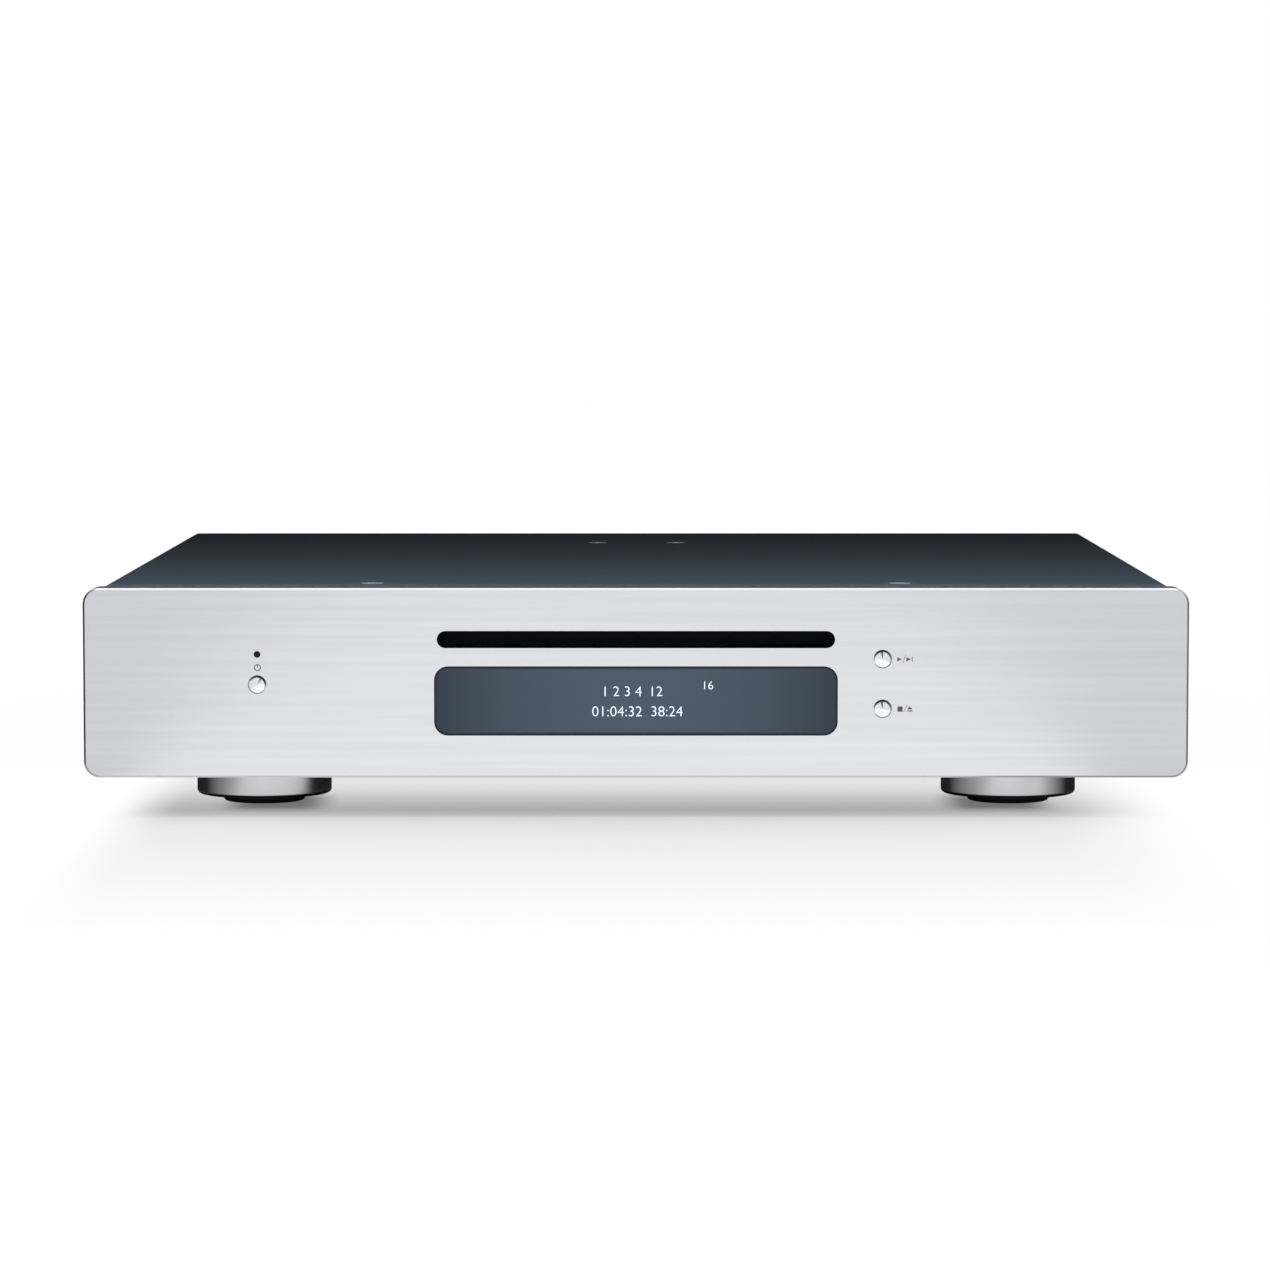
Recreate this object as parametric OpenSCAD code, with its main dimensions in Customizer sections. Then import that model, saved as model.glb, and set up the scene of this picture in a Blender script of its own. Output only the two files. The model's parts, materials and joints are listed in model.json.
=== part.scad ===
// Slim tray-loading disc player: floating aluminium front, folded steel case,
// disc loader with tray, gear train, tilting traverse and magnetic clamp.
// Millimetres. +Z up, the front faces -Y, the origin is on the floor under the middle.

/* [Front panel] */
// Width of the front panel
panel_w = 350; // [346:1:380]
// Height of the front panel
panel_h = 60.2; // [58:0.1:70]
// Thickness of the front panel
panel_t = 10; // [9.5:0.5:12]
// Corner radius of the front panel
panel_r = 5.1; // [2:0.1:8]
// Eased edge round the face of the panel
panel_edge = 0.6; // [0.2:0.1:1]
// Height of the panel's lower edge above the floor
panel_lift = 12.8; // [12:0.1:18]

/* [Tray slot and display] */
// Width of the tray slot
slot_w = 126; // [125.6:0.2:128]
// Height of the tray slot
slot_h = 5.4; // [5.2:0.1:6.5]
// Height of the slot's middle above the panel's lower edge
slot_up = 43.9; // [42.5:0.1:45]
// Width of the display window
window_w = 127.8; // [110:0.2:130]
// Height of the display window
window_h = 22; // [18:0.5:23]
// Corner radius of the display window
window_r = 4.4; // [1:0.1:8]
// Height of the window's middle above the panel's lower edge
window_up = 24.4; // [22:0.1:25]
// Depth of the window below the panel's face
window_inset = 0.4; // [0:0.1:1]

/* [Keys] */
// Diameter of a key
key_d = 5.2; // [4.4:0.1:6.4]
// Gap round a key
key_gap = 0.3; // [0.15:0.05:0.5]
// How far a key stands out of the panel
key_proud = 1; // [0.6:0.1:1.4]
// Travel of a key
key_travel = 0.6; // [0.3:0.1:0.8]
// Sideways place of the standby key
standby_x = -119.9; // [-125:0.1:-115]
// Height of the standby key above the panel's lower edge
standby_up = 29.6; // [28:0.1:31]
// Sideways place of the play and stop keys
keys_x = 78.1; // [77:0.1:80]
// Height of the play key above the panel's lower edge
play_up = 37.7; // [36:0.1:39]
// Height of the stop key above the panel's lower edge
stop_up = 21.9; // [20:0.1:23]
// Diameter of the status light's window
status_d = 2; // [1.6:0.1:3]
// Height of the status light above the panel's lower edge
status_up = 39.2; // [38:0.1:40]

/* [Case] */
// Width of the cover
case_w = 342; // [338:1:345]
// Depth from the panel's face to the back of the case
case_d = 319; // [315:1:340]
// Shadow gap between the panel and the case
shadow_gap = 5; // [4.5:0.5:7]
// Thickness of the sheet steel
sheet = 1.5; // [1:0.1:1.8]
// Outside radius of a fold
bend_r = 3; // [2:0.1:4]
// Height of the case's underside above the panel's lower edge
base_step = 1.5; // [0:0.5:2]
// Height of the floor's upturned sides
base_side = 12; // [8:1:20]
// Width of a flange on the frame and the rear panel
flange = 15; // [13:1:18]
// Number of vent slots in the floor
vent_count = 10; // [4:1:10]
// Sideways place of the front pair of cover screws
front_screw_x = 84.7; // [60:0.1:110]
// Sideways place of the rear pair of cover screws
rear_screw_x = 14.5; // [12:0.5:20]
// Depth of the rear pair of cover screws
rear_screw_d = 256; // [252:1:262]

/* [Feet] */
// Diameter of a foot
foot_d = 44; // [36:1:50]
// Distance of the feet from the middle
foot_x = 122; // [110:1:130]
// Depth of the front feet behind the panel's face
front_foot_d = 53; // [50:0.1:80]
// Depth of the rear feet behind the panel's face
rear_foot_d = 262; // [240:1:280]
// Diameter of a rubber pad
pad_d = 26.6; // [22:0.2:30]
// How far a pad stands out of its foot
pad_proud = 2.5; // [1.5:0.1:4]

/* [Tray] */
// Clearance between the tray and the slot
tray_gap = 0.4; // [0.3:0.05:0.6]
// Depth of the closed tray's face behind the panel's face
tray_set_back = 8.8; // [8:0.1:9.4]
// Length of the tray
tray_l = 178; // [172:1:184]
// Length of the tray that stays in its guides when it is out
tray_hold = 40; // [38:1:48]
// Radius of the disc well
well_r = 60.5; // [60.3:0.1:60.8]
// Depth of the disc well
well_depth = 1.9; // [1.5:0.1:2.1]
// Width of the opening over the pickup
tray_window_w = 33; // [31:1:36]

/* [Loading drive] */
// Module of the tray rack and its pinion
rack_module = 0.8; // [0.7:0.05:0.85]
// Teeth of the tray pinion
pinion_teeth = 16; // [14:2:16]
// Module of the reduction gears
train_module = 0.6; // [0.5:0.05:0.6]
// Teeth of the large reduction gear
wheel_teeth = 36; // [32:1:36]
// Teeth of the pulley's pinion
pulley_teeth = 12; // [11:1:14]
// Radius at which the belt runs on the pulley
pulley_r = 9.5; // [8:0.1:9.6]
// Radius at which the belt runs on the motor's pulley
motor_pulley_r = 2.5; // [2:0.1:3]
// Thickness of the belt
belt_t = 1.2; // [0.8:0.1:1.2]

/* [Traverse] */
// Distance of the tilting axis behind the spindle
pivot_back = 95; // [93:1:97]
// Drop of the cam pins between play and load
cam_drop = 6.4; // [5.6:0.1:6.6]
// Travel of the cam slider
cam_travel = 16; // [14:0.5:16]
// Distance of the lens from the spindle at the innermost track
lens_inner = 25; // [24.5:0.1:26]
// Travel of the pickup
sled_travel = 33; // [30:0.5:33.5]
// Module of the pickup rack and gears
sled_module = 0.5; // [0.45:0.05:0.5]
// Teeth of the pickup pinion
sled_pinion_teeth = 16; // [14:2:16]
// Teeth of the large pickup gear
sled_wheel_teeth = 22; // [20:1:22]
// Teeth of the pickup motor's pinion
sled_motor_teeth = 10; // [10:1:11]

/* [Rear sockets] */
// Distance of the mains inlet from the side of the cover
inlet_in = 33; // [31:1:37]
// Distance from the mains inlet to its rocker
rocker_step = 46; // [38:1:50]
// Height of the inlet and the rocker above the floor
mains_z = 44; // [42:1:46]
// Angle of the rocker between its two stops
rocker_swing = 22; // [14:1:24]
// Sideways place of the coaxial socket
coax_x = 40; // [34:1:44]
// Sideways place of the optical socket
optical_x = 68; // [62:1:72]
// Sideways place of the first trigger socket
trigger_x = 92; // [86:1:98]
// Distance between the two trigger sockets
trigger_pitch = 15; // [12:1:20]
// How far the coaxial socket stands out of the rear panel
coax_proud = 9; // [8:0.5:10]

/* [Hidden] */
$fn = 64;

over = 1; // how far a cut runs past a face
fit = 0.1; // clearance between sheets and pieces that slide together

// A pair of numbers, both moved by c.
function near(c, pair) = [c + pair[0], c + pair[1]];

// The span that reaches half to either side of c.
function about(c, half) = [c - half, c + half];

// A span made longer at both ends, for a cut right through.
function past(span) = [span[0] - over, span[1] + over];

// Heights of the case.
base_z = panel_lift + base_step;
floor_z = base_z + sheet;
roof_z = panel_lift + panel_h;
ceiling_z = roof_z - sheet;
slot_z = panel_lift + slot_up;
window_z = panel_lift + window_up;
frame_d = panel_t + shadow_gap; // depth of the front frame and the cover's front edge
inner_w = case_w - 2 * sheet - 4 * fit;
flange_x = inner_w / 2 - bend_r - fit; // half width of the flanges that sit inside the floor's sides
front_y = -(case_d + coax_proud - key_proud) / 2; // place of the panel's face
back_d = case_d - sheet;
front_screw_d = frame_d + 9.5; // depth of the front pair of cover screws
cover_neck_r = 2; // radii of a cover screw: neck, flush head and thread
cover_head_r = 3.5;
cover_thread_r = 1.6;
base_screw_x = case_w / 2 - 26; // screws that join the floor to the frame and the rear panel
base_screw_d = [front_screw_d, back_d - 8];
bracket_w = 60;
bracket_h = 10;
bracket_tab = 8; // the bracket's tab hangs this far below its sides
bracket_screw = [22, 9]; // sideways, and down from the ceiling
vent = [32, 3]; // length and width of a vent slot
vent_pitch = 7.5;

// Tray and disc.
tray_w = slot_w - 2 * tray_gap;
tray_t = slot_h - 2 * tray_gap;
tray_z = slot_z - tray_t / 2;
tray_top = tray_z + tray_t;
tray_front_t = 2.5;
tray_d = near(tray_set_back, [tray_front_t, tray_l]); // the tray behind its front
tray_travel = tray_l - tray_hold;
tray_margin = 5.7; // from the tray's face to the disc well
disc_d = tray_set_back + tray_margin + well_r; // depth of the spindle when the tray is in
disc_t = 1.2;
well_z = tray_top - well_depth;
seat_z = well_z + 1; // the disc is lifted this far off the tray to play
peg_x = 30;
peg_r = 0.9;
peg_l = 2.6;

// Loader frame.
run_gap = 0.3; // running clearance of the tray in its guides
deck_z = tray_z - 10.4; // top of the loader's deck
deck_t = 2.5;
loader_d = near(frame_d + sheet + 3.5, [0, tray_l + 8]);
wall_x = tray_w / 2 + run_gap;
wall_t = 2.5;
clip_t = 1.4;
clip_reach = 4; // over the tray's edge
clip_l = 10;
clips_d = [loader_d[0] + 2, disc_d + 22, loader_d[1] - 14];
wall_top = tray_top + run_gap + clip_t;
rail_w = 4.7;
rail_t = 2;
deck_x = tray_w / 2 + 11.4;
lug_x = deck_x - 4;
lug_d = [frame_d + flange + 4.5, loader_d[1] - 8];
bay_x = 44; // half width of the opening for the traverse
bay_gap = 0.8; // in front of the cam plate

// Loading drive.
pitch_r = rack_module * pinion_teeth / 2;
rack_x = -(tray_w / 2 - 5.8);
drive_x = rack_x + pitch_r;
drive_d = loader_d[0] + 15;
train_gap = 0.05; // extra centre distance of meshing gears
pulley_x = drive_x + train_module * (wheel_teeth + pulley_teeth) / 2 + train_gap;
belt_span = 42; // from the pulley to the motor
motor_x = pulley_x + belt_span;
channel_depth = 1.9; // depth of the rack's channel in the tray's underside
channel_x = drive_x + pitch_r + rack_module + 1;
wheel_z = deck_z + 5.3;
wheel_t = 2;
belt_z = deck_z + 3;
groove_h = 1.3; // half height of a pulley's rim
drive_top = tray_z + channel_depth - run_gap; // top of the tray pinion
axle_r = 1.5;
axle_gap = 0.08;
axle_foot = 1.5; // how far an axle's foot is wider than the axle
motor_r = 10;
motor_l = 15.4;
motor_neck_r = 3;
motor_shaft_r = 0.95;
terminal = [2, 2, 3.5]; // blade under a motor

// Traverse.
pivot_d = disc_d + pivot_back;
pivot_z = deck_z + 3;
pivot_r = 2;
cradle_x = 41;
cradle_rim = [7, -15]; // depth of the cradle's front and rear bars
cradle_d = [disc_d - 22, pivot_d + 5];
cradle_z = [deck_z - 1, deck_z + 4.6];
pin_x = 18;
pin_z = deck_z + 1.8;
pin_r = 1.5;
cam_d = cradle_d[0] - 6.2; // front face of the cam plate
cam_t = 1.8;
cam_x = near(pin_x, [-56.5, 4.5]);
hook_w = 5; // hooks that hold the cam slider to the deck
hook_z = near(deck_z, [1.4, 2.1]);
plate_z = cradle_z[1] + 1.2;
plate_t = 1.2;
plate_top = plate_z + plate_t;
grommet_top = plate_top + 1.1;
mount_x = 37;
mount_r = 4;
mount_d = [disc_d - 9, disc_d + 77];
rod_x = 13.5;
rod_r = 1.5;
rod_z = plate_z - 3.3;
rod_d = [disc_d + 12.5, disc_d + 77.5];
rod_block = 3;
lens_d = disc_d + lens_inner;
sled_d = [lens_d - 8, lens_d + 12];
sled_x = 17;
sled_rack_x = sled_x + 2.6;
sled_pitch_r = sled_module * sled_pinion_teeth / 2;
sled_gear_x = sled_rack_x + sled_pitch_r;
sled_gear_d = sled_d[0] + 26;
sled_reach = sled_module * (sled_wheel_teeth + sled_motor_teeth) / 2 + train_gap;
sled_motor_x = sled_gear_x + sled_reach * cos(45);
sled_motor_d = sled_gear_d + sled_reach * sin(45);
sled_motor_top = plate_z - 4.6;
sled_pinion_z = sled_motor_top + 0.3;
sled_wheel_z = plate_z - 2.1;
sled_wheel_t = 1.6;
sled_axle_r = 0.9;
sled_motor_r = 5.5;
sled_motor_l = 12;
sled_shaft_r = 0.7;
step_x = 35.4; // outer face of the step that carries the pickup motor
step_t = 1.1;
plate_x = 31;
spindle_r = 11.5;
spindle_shaft_r = 0.95;

// Clamp.
bridge_z = wall_top;
bridge_t = 1.2;
bridge_top = bridge_z + bridge_t;
bridge_d = [disc_d - 20, disc_d + 20];
post_x = deck_x - 6;
post_inset = 5;
puck_r = 12.5;
puck_rim_r = 15.5;
bridge_posts_d = [bridge_d[0] + post_inset, bridge_d[1] - post_inset];
bridge_post_r = 3.4;
bridge_fold = 4.5; // height of the bridge's folded edges

// Front boards.
board_t = 1.6;
display_w = window_w + 12;
display_h = window_h + 9;
display_chips = [-45, 5, 25, 45];
tube_in = [6, 1.5]; // from the window's edge to the display tube
glass_t = 3.1; // thickness of the window's front part
glass_gap = 0.15; // clearance round the window
lip = 2.4; // how far the window's pocket reaches beyond the window
lip_t = 1.9; // thickness of the window's flange
lens_seat = 6; // depth of the status lens's flange
lens_rim = 1; // how far that flange is wider than the lens
key_seat = 4; // thickness of the panel that a key's flange stops against
key_bore_r = key_d / 2 + key_gap;
key_rest = 0.2; // gap between a key's flange and its seat
key_flange_r = key_d / 2 + 1.3;
key_flange_t = 1;
key_edge = 0.3; // eased rim of a key
key_pocket_r = key_flange_r + 0.7;
switch_w = 6;
switch_h = 3.4;
plunger_r = 1.7;
switch_dip = 1; // how far a plunger reaches into its switch at rest
key_back = key_seat + key_rest + key_flange_t;
keys = [[standby_x, panel_lift + standby_up], [keys_x, panel_lift + play_up],
    [keys_x, panel_lift + stop_up]];
status_z = panel_lift + status_up;
standby_board = [standby_x, panel_lift + 34.5, 24, 30]; // x, z, width, height
play_board = [keys_x + 5.15, panel_lift + 29.6, 23.5, 34];
display_screws = [for (sx = [-1, 1], sz = [-1, 1])
    [sx * (window_w / 2 + 3.6), window_z + sz * (window_h / 2 + 2.4)]];
key_screws = [for (sx = [-1, 1], sz = [-1, 1]) [standby_board[0] + sx * 9, standby_board[1] + sz * 12],
    for (sz = [-1, 1]) [play_board[0] + 8.2, play_board[1] + sz * 13.4],
    [keys_x - 3.1, (play_up + stop_up) / 2 + panel_lift]];

// Spacers between panel and frame, as x and height.
spacer_x = case_w / 2 - 13;
spacers = [for (sx = [-1, 1]) each [[sx * spacer_x, panel_lift + 12],
    [sx * spacer_x, panel_lift + panel_h - 12], [sx * 104, panel_lift + 10.5]]];
spacer_r = 4.5;
spacer_grip = 5; // thread in the panel
small_grip = 3; // thread of the boards' screws in the panel
tap_r = 1.5; // bore for a thread cut by its own screw

// Feet.
feet_at = [for (sx = [-1, 1]) each [[sx * foot_x, front_foot_d], [sx * foot_x, rear_foot_d]]];
pad_seat = 1;
pad_hole_r = 5;
pad_edge = 0.5;
foot_edge = 0.8;
foot_cup = 7; // from the case's underside to the foot screw's head
foot_cup_r = 4.3;
foot_screw_r = 1.95; // M4
foot_hole = 2.2;
nut = [4, 3.2]; // corner radius and height

// Boards inside.
board_z = floor_z + 6;
board_in = 11; // from the cover's side to a board
main_x = [-60, case_w / 2 - board_in];
main_d = [case_d - 105, case_d - 5];
power_w = 76;
power_x = near(-case_w / 2 + board_in, [0, power_w]);
power_d = [case_d - 169, case_d - 29];
standoff_r = 2.8;
board_posts = [for (x = [main_x[0] + 6, main_x[1] - 6], d = [main_d[0] + 6, main_d[1] - 18]) [x, d],
    for (x = [power_x[0] + 5, power_x[1] - 5], d = [power_d[0] + 7, power_d[1] - 7]) [x, d]];
loader_posts = [for (sx = [-1, 1], d = lug_d) [sx * lug_x, d]];
screw_r = 1.45; // M3
screw_hole = 1.6;
small_screw_r = 1.2; // M2.5
small_hole = 1.3;

ribbon_x = -18;
ribbon_w = 18;
ribbon_t = 0.4;
ribbon_drop = 12; // from the window's middle to the ribbon's plug
plug_w = 20;
harness_d = main_d[0] + 48;
harness_w = 12;
terminals_d = power_d[1] - 13;
lead_r = 1.1;
post_grip = 4; // thread in a stud
loader_grip = 5;
bridge_grip = 6;
thread_end = 1; // thread that shows past the last sheet

// Chips on the main board, as place across and along it, and size.
chips = [[80, 30, 14], [120, 34, 20], [165, 30, 14], [190, 56, 10], [172, 60, 8]];
chip_t = 1.6;
crystal = [42, 30, 10, 4]; // place across and along the board, length, and width and height

// Heat sink and transformer, in from the power board's corner.
sink_x = near(power_x[0], [14, 54]);
sink_d = power_d[0] + 12;
sink_h = 30;
fin = [15, 1.5]; // depth and thickness of a fin
fin_pitch = 5.5;
core_at = [power_x[0] + 26, power_d[0] + 62];
core = [36, 14, 26]; // width, depth and height of the core
core_limb = 5;
coil = [24, 22, 20];
bobbin = [32, 28, 4];

// Large capacitors, in from the same corner: place, radius and height. Small ones stand in a row.
cans = [[58, 60, 9, 28], [59, 86, 7, 24], [59, 34, 6, 20], [40, 100, 6, 18]];
small_can = [4, 12];
small_can_pitch = 14;

// Rear.
socket_z = board_z + board_t;
coax_z = socket_z + 9.9;
coax_r = 4.15;
trigger_z = socket_z + 4;
jack_r = 1.78;
jack_sleeve_r = 3;
jack_l = 12;
coax_collar = [6.2, 2]; // radius and thickness
coax_bore_r = 3.3;
coax_pin_r = 2.6; // radius of the inner contact's insulator
optical = [5, 5.2]; // half width and half height
optical_mouth = 3.3;
optical_z = socket_z + optical[1];
socket_gap = 0.3; // clearance between a socket and its hole
socket_back = 15; // how far the sockets reach into the case
inlet_x = -(case_w / 2 - inlet_in);
rocker_x = inlet_x + rocker_step;
inlet_w = 27;
inlet_h = 20;
inlet_depth = 23;
cavity = [24, 16.4, 16]; // width, height and depth of the inlet's plug cavity
cavity_bevel = [5, 4];
ear_x = 20;
ear_t = 2.5;
blade = [2, 4]; // width and height of a mains pin
blade_gap = 0.05;
inlet_pins_at = [[-7, -2], [7, -2], [0, 2]];
blade_end = 6; // how far a pin stands out behind the inlet
rocker_wall = 1.3;
rocker_rim = [2.5, 1.6]; // width and thickness of the housing's rim
rocker_w = 12;
rocker_window = 19.4;
rocker_pivot = 3;

// --- Placing helpers: x is sideways, d the depth behind the panel's face, z the height.

module at(x, d, z) translate([x, front_y + d, z]) children();

module block(x, d, z) at(x[0], d[0], z[0]) cube([x[1] - x[0], d[1] - d[0], z[1] - z[0]]);

module post(x, d, z, r) at(x, d, z[0]) cylinder(r = r, h = z[1] - z[0]);

module rod_back(x, z, d, r) at(x, d[0], z) rotate([-90, 0, 0]) cylinder(r = r, h = d[1] - d[0]);

module rod_side(d, z, x, r) at(x[0], d, z) rotate([0, 90, 0]) cylinder(r = r, h = x[1] - x[0]);

// Drawn in x and height, and extruded from depth d[0] to d[1].
module through_depth(d) at(0, d[1], 0) rotate([90, 0, 0]) linear_extrude(d[1] - d[0]) children();

// Drawn in depth and height, and extruded from x[0] to x[1].
module across(x) at(x[0], 0, 0) rotate([90, 0, 90]) linear_extrude(x[1] - x[0]) children();

// Drawn in x and depth, and extruded from z[0] to z[1].
module upward(z) at(0, 0, z[0]) linear_extrude(z[1] - z[0]) children();

// --- Outlines.

module rounded(w, h, r) {
    square([w, h - 2 * r], center = true);
    square([w - 2 * r, h], center = true);
    for (sx = [-1, 1], sy = [-1, 1]) translate([sx * (w / 2 - r), sy * (h / 2 - r)]) circle(r);
}

module stadium(w, h) {
    square([w - h, h], center = true);
    for (sx = [-1, 1]) translate([sx * (w - h) / 2, 0]) circle(h / 2);
}

// Block from the base line up to h, with its two upper corners rounded.
module arch(w, h, r) {
    translate([-w / 2, 0]) square([w, h - r]);
    translate([-w / 2 + r, 0]) square([w - 2 * r, h]);
    for (sx = [-1, 1]) translate([sx * (w / 2 - r), h - r]) circle(r);
}

// Outline of a round-ended slot from point a to point b.
function slot_points(a, b, r) =
    let (lean = atan2(b[1] - a[1], b[0] - a[0]), step = 7.5)
    [each [for (t = [lean + 90 : step : lean + 270]) a + r * [cos(t), sin(t)]],
        each [for (t = [lean - 90 : step : lean + 90]) b + r * [cos(t), sin(t)]]];

// Folded channel, open below.
module channel(w, h, t, r) difference() {
    arch(w, h, r);
    translate([0, -t]) arch(w - 2 * t, h, r - t);
}

// --- Gears.

function involute(a) = tan(a) * 180 / PI - a;

// Half the angle that a tooth covers at radius r.
function tooth_half(teeth, m, r, slack) =
    let (pitch = m * teeth / 2, base = pitch * cos(20))
    90 / teeth - slack / pitch * 90 / PI + involute(20) - involute(acos(min(1, base / r)));

// Radii along a tooth's side, in modules from the pitch circle: root, two between, and tip.
tooth_steps = [-1.2, -0.45, 0.35, 0.95];

function gear_points(teeth, m, slack) =
    let (radii = [for (step = tooth_steps) m * (teeth / 2 + step)])
    [for (i = [0 : teeth - 1], side = [-1, 1], j = [0 : 3])
        let (r = radii[side < 0 ? j : 3 - j])
        let (a = 360 * i / teeth + side * tooth_half(teeth, m, r, slack))
        r * [cos(a), sin(a)]];

module gear(teeth, m, h, slack = 0.12) linear_extrude(h) polygon(gear_points(teeth, m, slack));

// Corner points of rack teeth along depth. They point towards +x from the line x = 0,
// and one is centred at depth 0.
function rack_points(m, from, to, slack) =
    let (pitch = PI * m, lean = tan(20), half = pitch / 4 - slack / 2)
    [for (k = [ceil(from / pitch) : floor(to / pitch)]) each [
        [-1.25 * m, k * pitch - half - 1.25 * m * lean], [0.9 * m, k * pitch - half + 0.9 * m * lean],
        [0.9 * m, k * pitch + half - 0.9 * m * lean], [-1.25 * m, k * pitch + half + 1.25 * m * lean]]];

// --- Front.

// Plate on the floor of its own frame, with the edge of its upper face eased.
module eased_plate(w, h, t, r, edge) {
    rotate([90, 0, 90]) translate([0, 0, r - w / 2]) linear_extrude(w - 2 * r) polygon([
        [-h / 2, 0], [h / 2, 0], [h / 2, t - edge], [h / 2 - edge, t],
        [edge - h / 2, t], [-h / 2, t - edge]]);
    for (side = [0, 180]) rotate(side) {
        translate([w / 2 - r, h / 2 - r, 0]) {
            rotate([90, 0, 0]) linear_extrude(h - 2 * r) edge_profile(r, t, edge);
            rotate_extrude(angle = 90) edge_profile(r, t, edge);
        }
        translate([w / 2 - r, r - h / 2, 0]) rotate(-90) rotate_extrude(angle = 90) edge_profile(r, t, edge);
    }
}

module edge_profile(r, t, edge) polygon([[0, 0], [r, 0], [r, t - edge], [r - edge, t], [0, t]]);

module front_panel() color("gainsboro") difference() {
    at(0, panel_t, panel_lift + panel_h / 2) rotate([90, 0, 0])
        eased_plate(panel_w, panel_h, panel_t, panel_r, panel_edge);
    through_depth(past([0, panel_t])) {
        translate([0, slot_z]) stadium(slot_w, slot_h);
        translate([0, window_z]) rounded(window_w, window_h, window_r);
    }
    through_depth([window_inset + glass_t - fit, panel_t + over]) translate([0, window_z])
        rounded(window_w + 2 * lip, window_h + 2 * lip, window_r);
    for (k = keys) {
        rod_back(k[0], k[1], [-over, panel_t], key_bore_r);
        rod_back(k[0], k[1], [key_seat, panel_t + over], key_pocket_r);
    }
    rod_back(standby_x, status_z, [-over, panel_t], status_d / 2 + fit / 2);
    rod_back(standby_x, status_z, [lens_seat, panel_t + over], status_d / 2 + lens_rim + 2 * fit);
    for (s = spacers) rod_back(s[0], s[1], [panel_t - spacer_grip - over, panel_t + over], tap_r);
    for (s = concat(display_screws, key_screws))
        rod_back(s[0], s[1], [panel_t - small_grip - over, panel_t + over], small_hole);
}

module display_window() color("slategray") {
    through_depth(near(window_inset, [0, glass_t])) translate([0, window_z])
        rounded(window_w - 2 * glass_gap, window_h - 2 * glass_gap, window_r - glass_gap);
    through_depth(near(window_inset + glass_t, [0, lip_t])) translate([0, window_z])
        rounded(window_w + 2 * lip - 4 * glass_gap, window_h + 2 * lip - 4 * glass_gap, window_r);
}

module display_module() color("darkgreen") {
    difference() {
        block(about(0, display_w / 2), [panel_t, panel_t + board_t], about(window_z, display_h / 2));
        for (s = display_screws) rod_back(s[0], s[1], past([panel_t, panel_t + board_t]), small_hole + fit);
    }
    block(about(0, window_w / 2 - tube_in[0]), [window_inset + glass_t + lip_t + 2 * fit, panel_t],
        about(window_z, window_h / 2 - tube_in[1]));
    back = panel_t + board_t;
    block(about(ribbon_x, plug_w / 2), [back, back + 2], about(window_z - ribbon_drop, 2)); // ribbon socket
    for (x = display_chips) block(about(x, 5), [back, back + 1.2], about(window_z, 4));
}

module front_board(b)
    block(about(b[0], b[2] / 2), [panel_t, panel_t + board_t], about(b[1], b[3] / 2));

module button_boards() color("darkgreen") {
    difference() {
        union() {
            front_board(standby_board);
            front_board(play_board);
        }
        for (s = key_screws) rod_back(s[0], s[1], past([panel_t, panel_t + board_t]), small_hole + fit);
    }
    rod_back(standby_x, status_z, [panel_t - 1.2, panel_t], status_d / 2 + 0.5); // status light
    for (b = [standby_board, play_board])
        block(about(b[0], 5), near(panel_t + board_t, [0, 1.6]), near(b[1], [2, 6])); // plug
}

module tact_switches() color("dimgray") for (k = keys) difference() {
    block(about(k[0], switch_w / 2), [panel_t - switch_h, panel_t], about(k[1], switch_w / 2));
    rod_back(k[0], k[1], near(panel_t - switch_h, [-over, key_travel + switch_dip + 0.3]), plunger_r + fit);
}

module key_plunger(k) color("black")
    rod_back(k[0], k[1], [key_back, panel_t - switch_h + switch_dip], plunger_r);

module key_cap(k) color("silver") at(k[0], 0, k[1]) rotate([-90, 0, 0]) rotate_extrude() polygon([
    [0, -key_proud], [key_d / 2 - key_edge, -key_proud], [key_d / 2, key_edge - key_proud],
    [key_d / 2, key_back - key_flange_t], [key_flange_r, key_back - key_flange_t], [key_flange_r, key_back],
    [0, key_back]]);

module status_lens() color("black") {
    rod_back(standby_x, status_z, [fit, lens_seat + fit], status_d / 2);
    rod_back(standby_x, status_z, [lens_seat + fit, lens_seat + 1.8], status_d / 2 + lens_rim);
}

module front_frame() color("dimgray") difference() {
    across(about(0, flange_x)) {
        translate([frame_d, floor_z]) square([sheet, ceiling_z - fit - floor_z]);
        translate([frame_d, floor_z]) square([flange, sheet]);
        translate([frame_d, ceiling_z - fit - sheet]) square([flange, sheet]);
    }
    block(about(0, wall_x + 3), past([frame_d, frame_d + flange]), about(slot_z, 6)); // room for the tray
    block(about(ribbon_x, plug_w / 2 + 1), past([frame_d, frame_d + sheet]),
        [floor_z + sheet, window_z - ribbon_drop + 3]);
    for (s = spacers) rod_back(s[0], s[1], past([frame_d, frame_d + sheet]), screw_hole);
    for (sx = [-1, 1]) {
        post(sx * front_screw_x, front_screw_d, past([ceiling_z - 3, ceiling_z]), cover_thread_r + fit);
        post(sx * base_screw_x, base_screw_d[0], past([floor_z, floor_z + sheet]), screw_hole);
    }
}

module panel_spacers() color("silver") for (s = spacers) difference() {
    rod_back(s[0], s[1], [panel_t, frame_d], spacer_r);
    rod_back(s[0], s[1], past([panel_t, frame_d]), screw_hole);
}

// --- Case.

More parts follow.
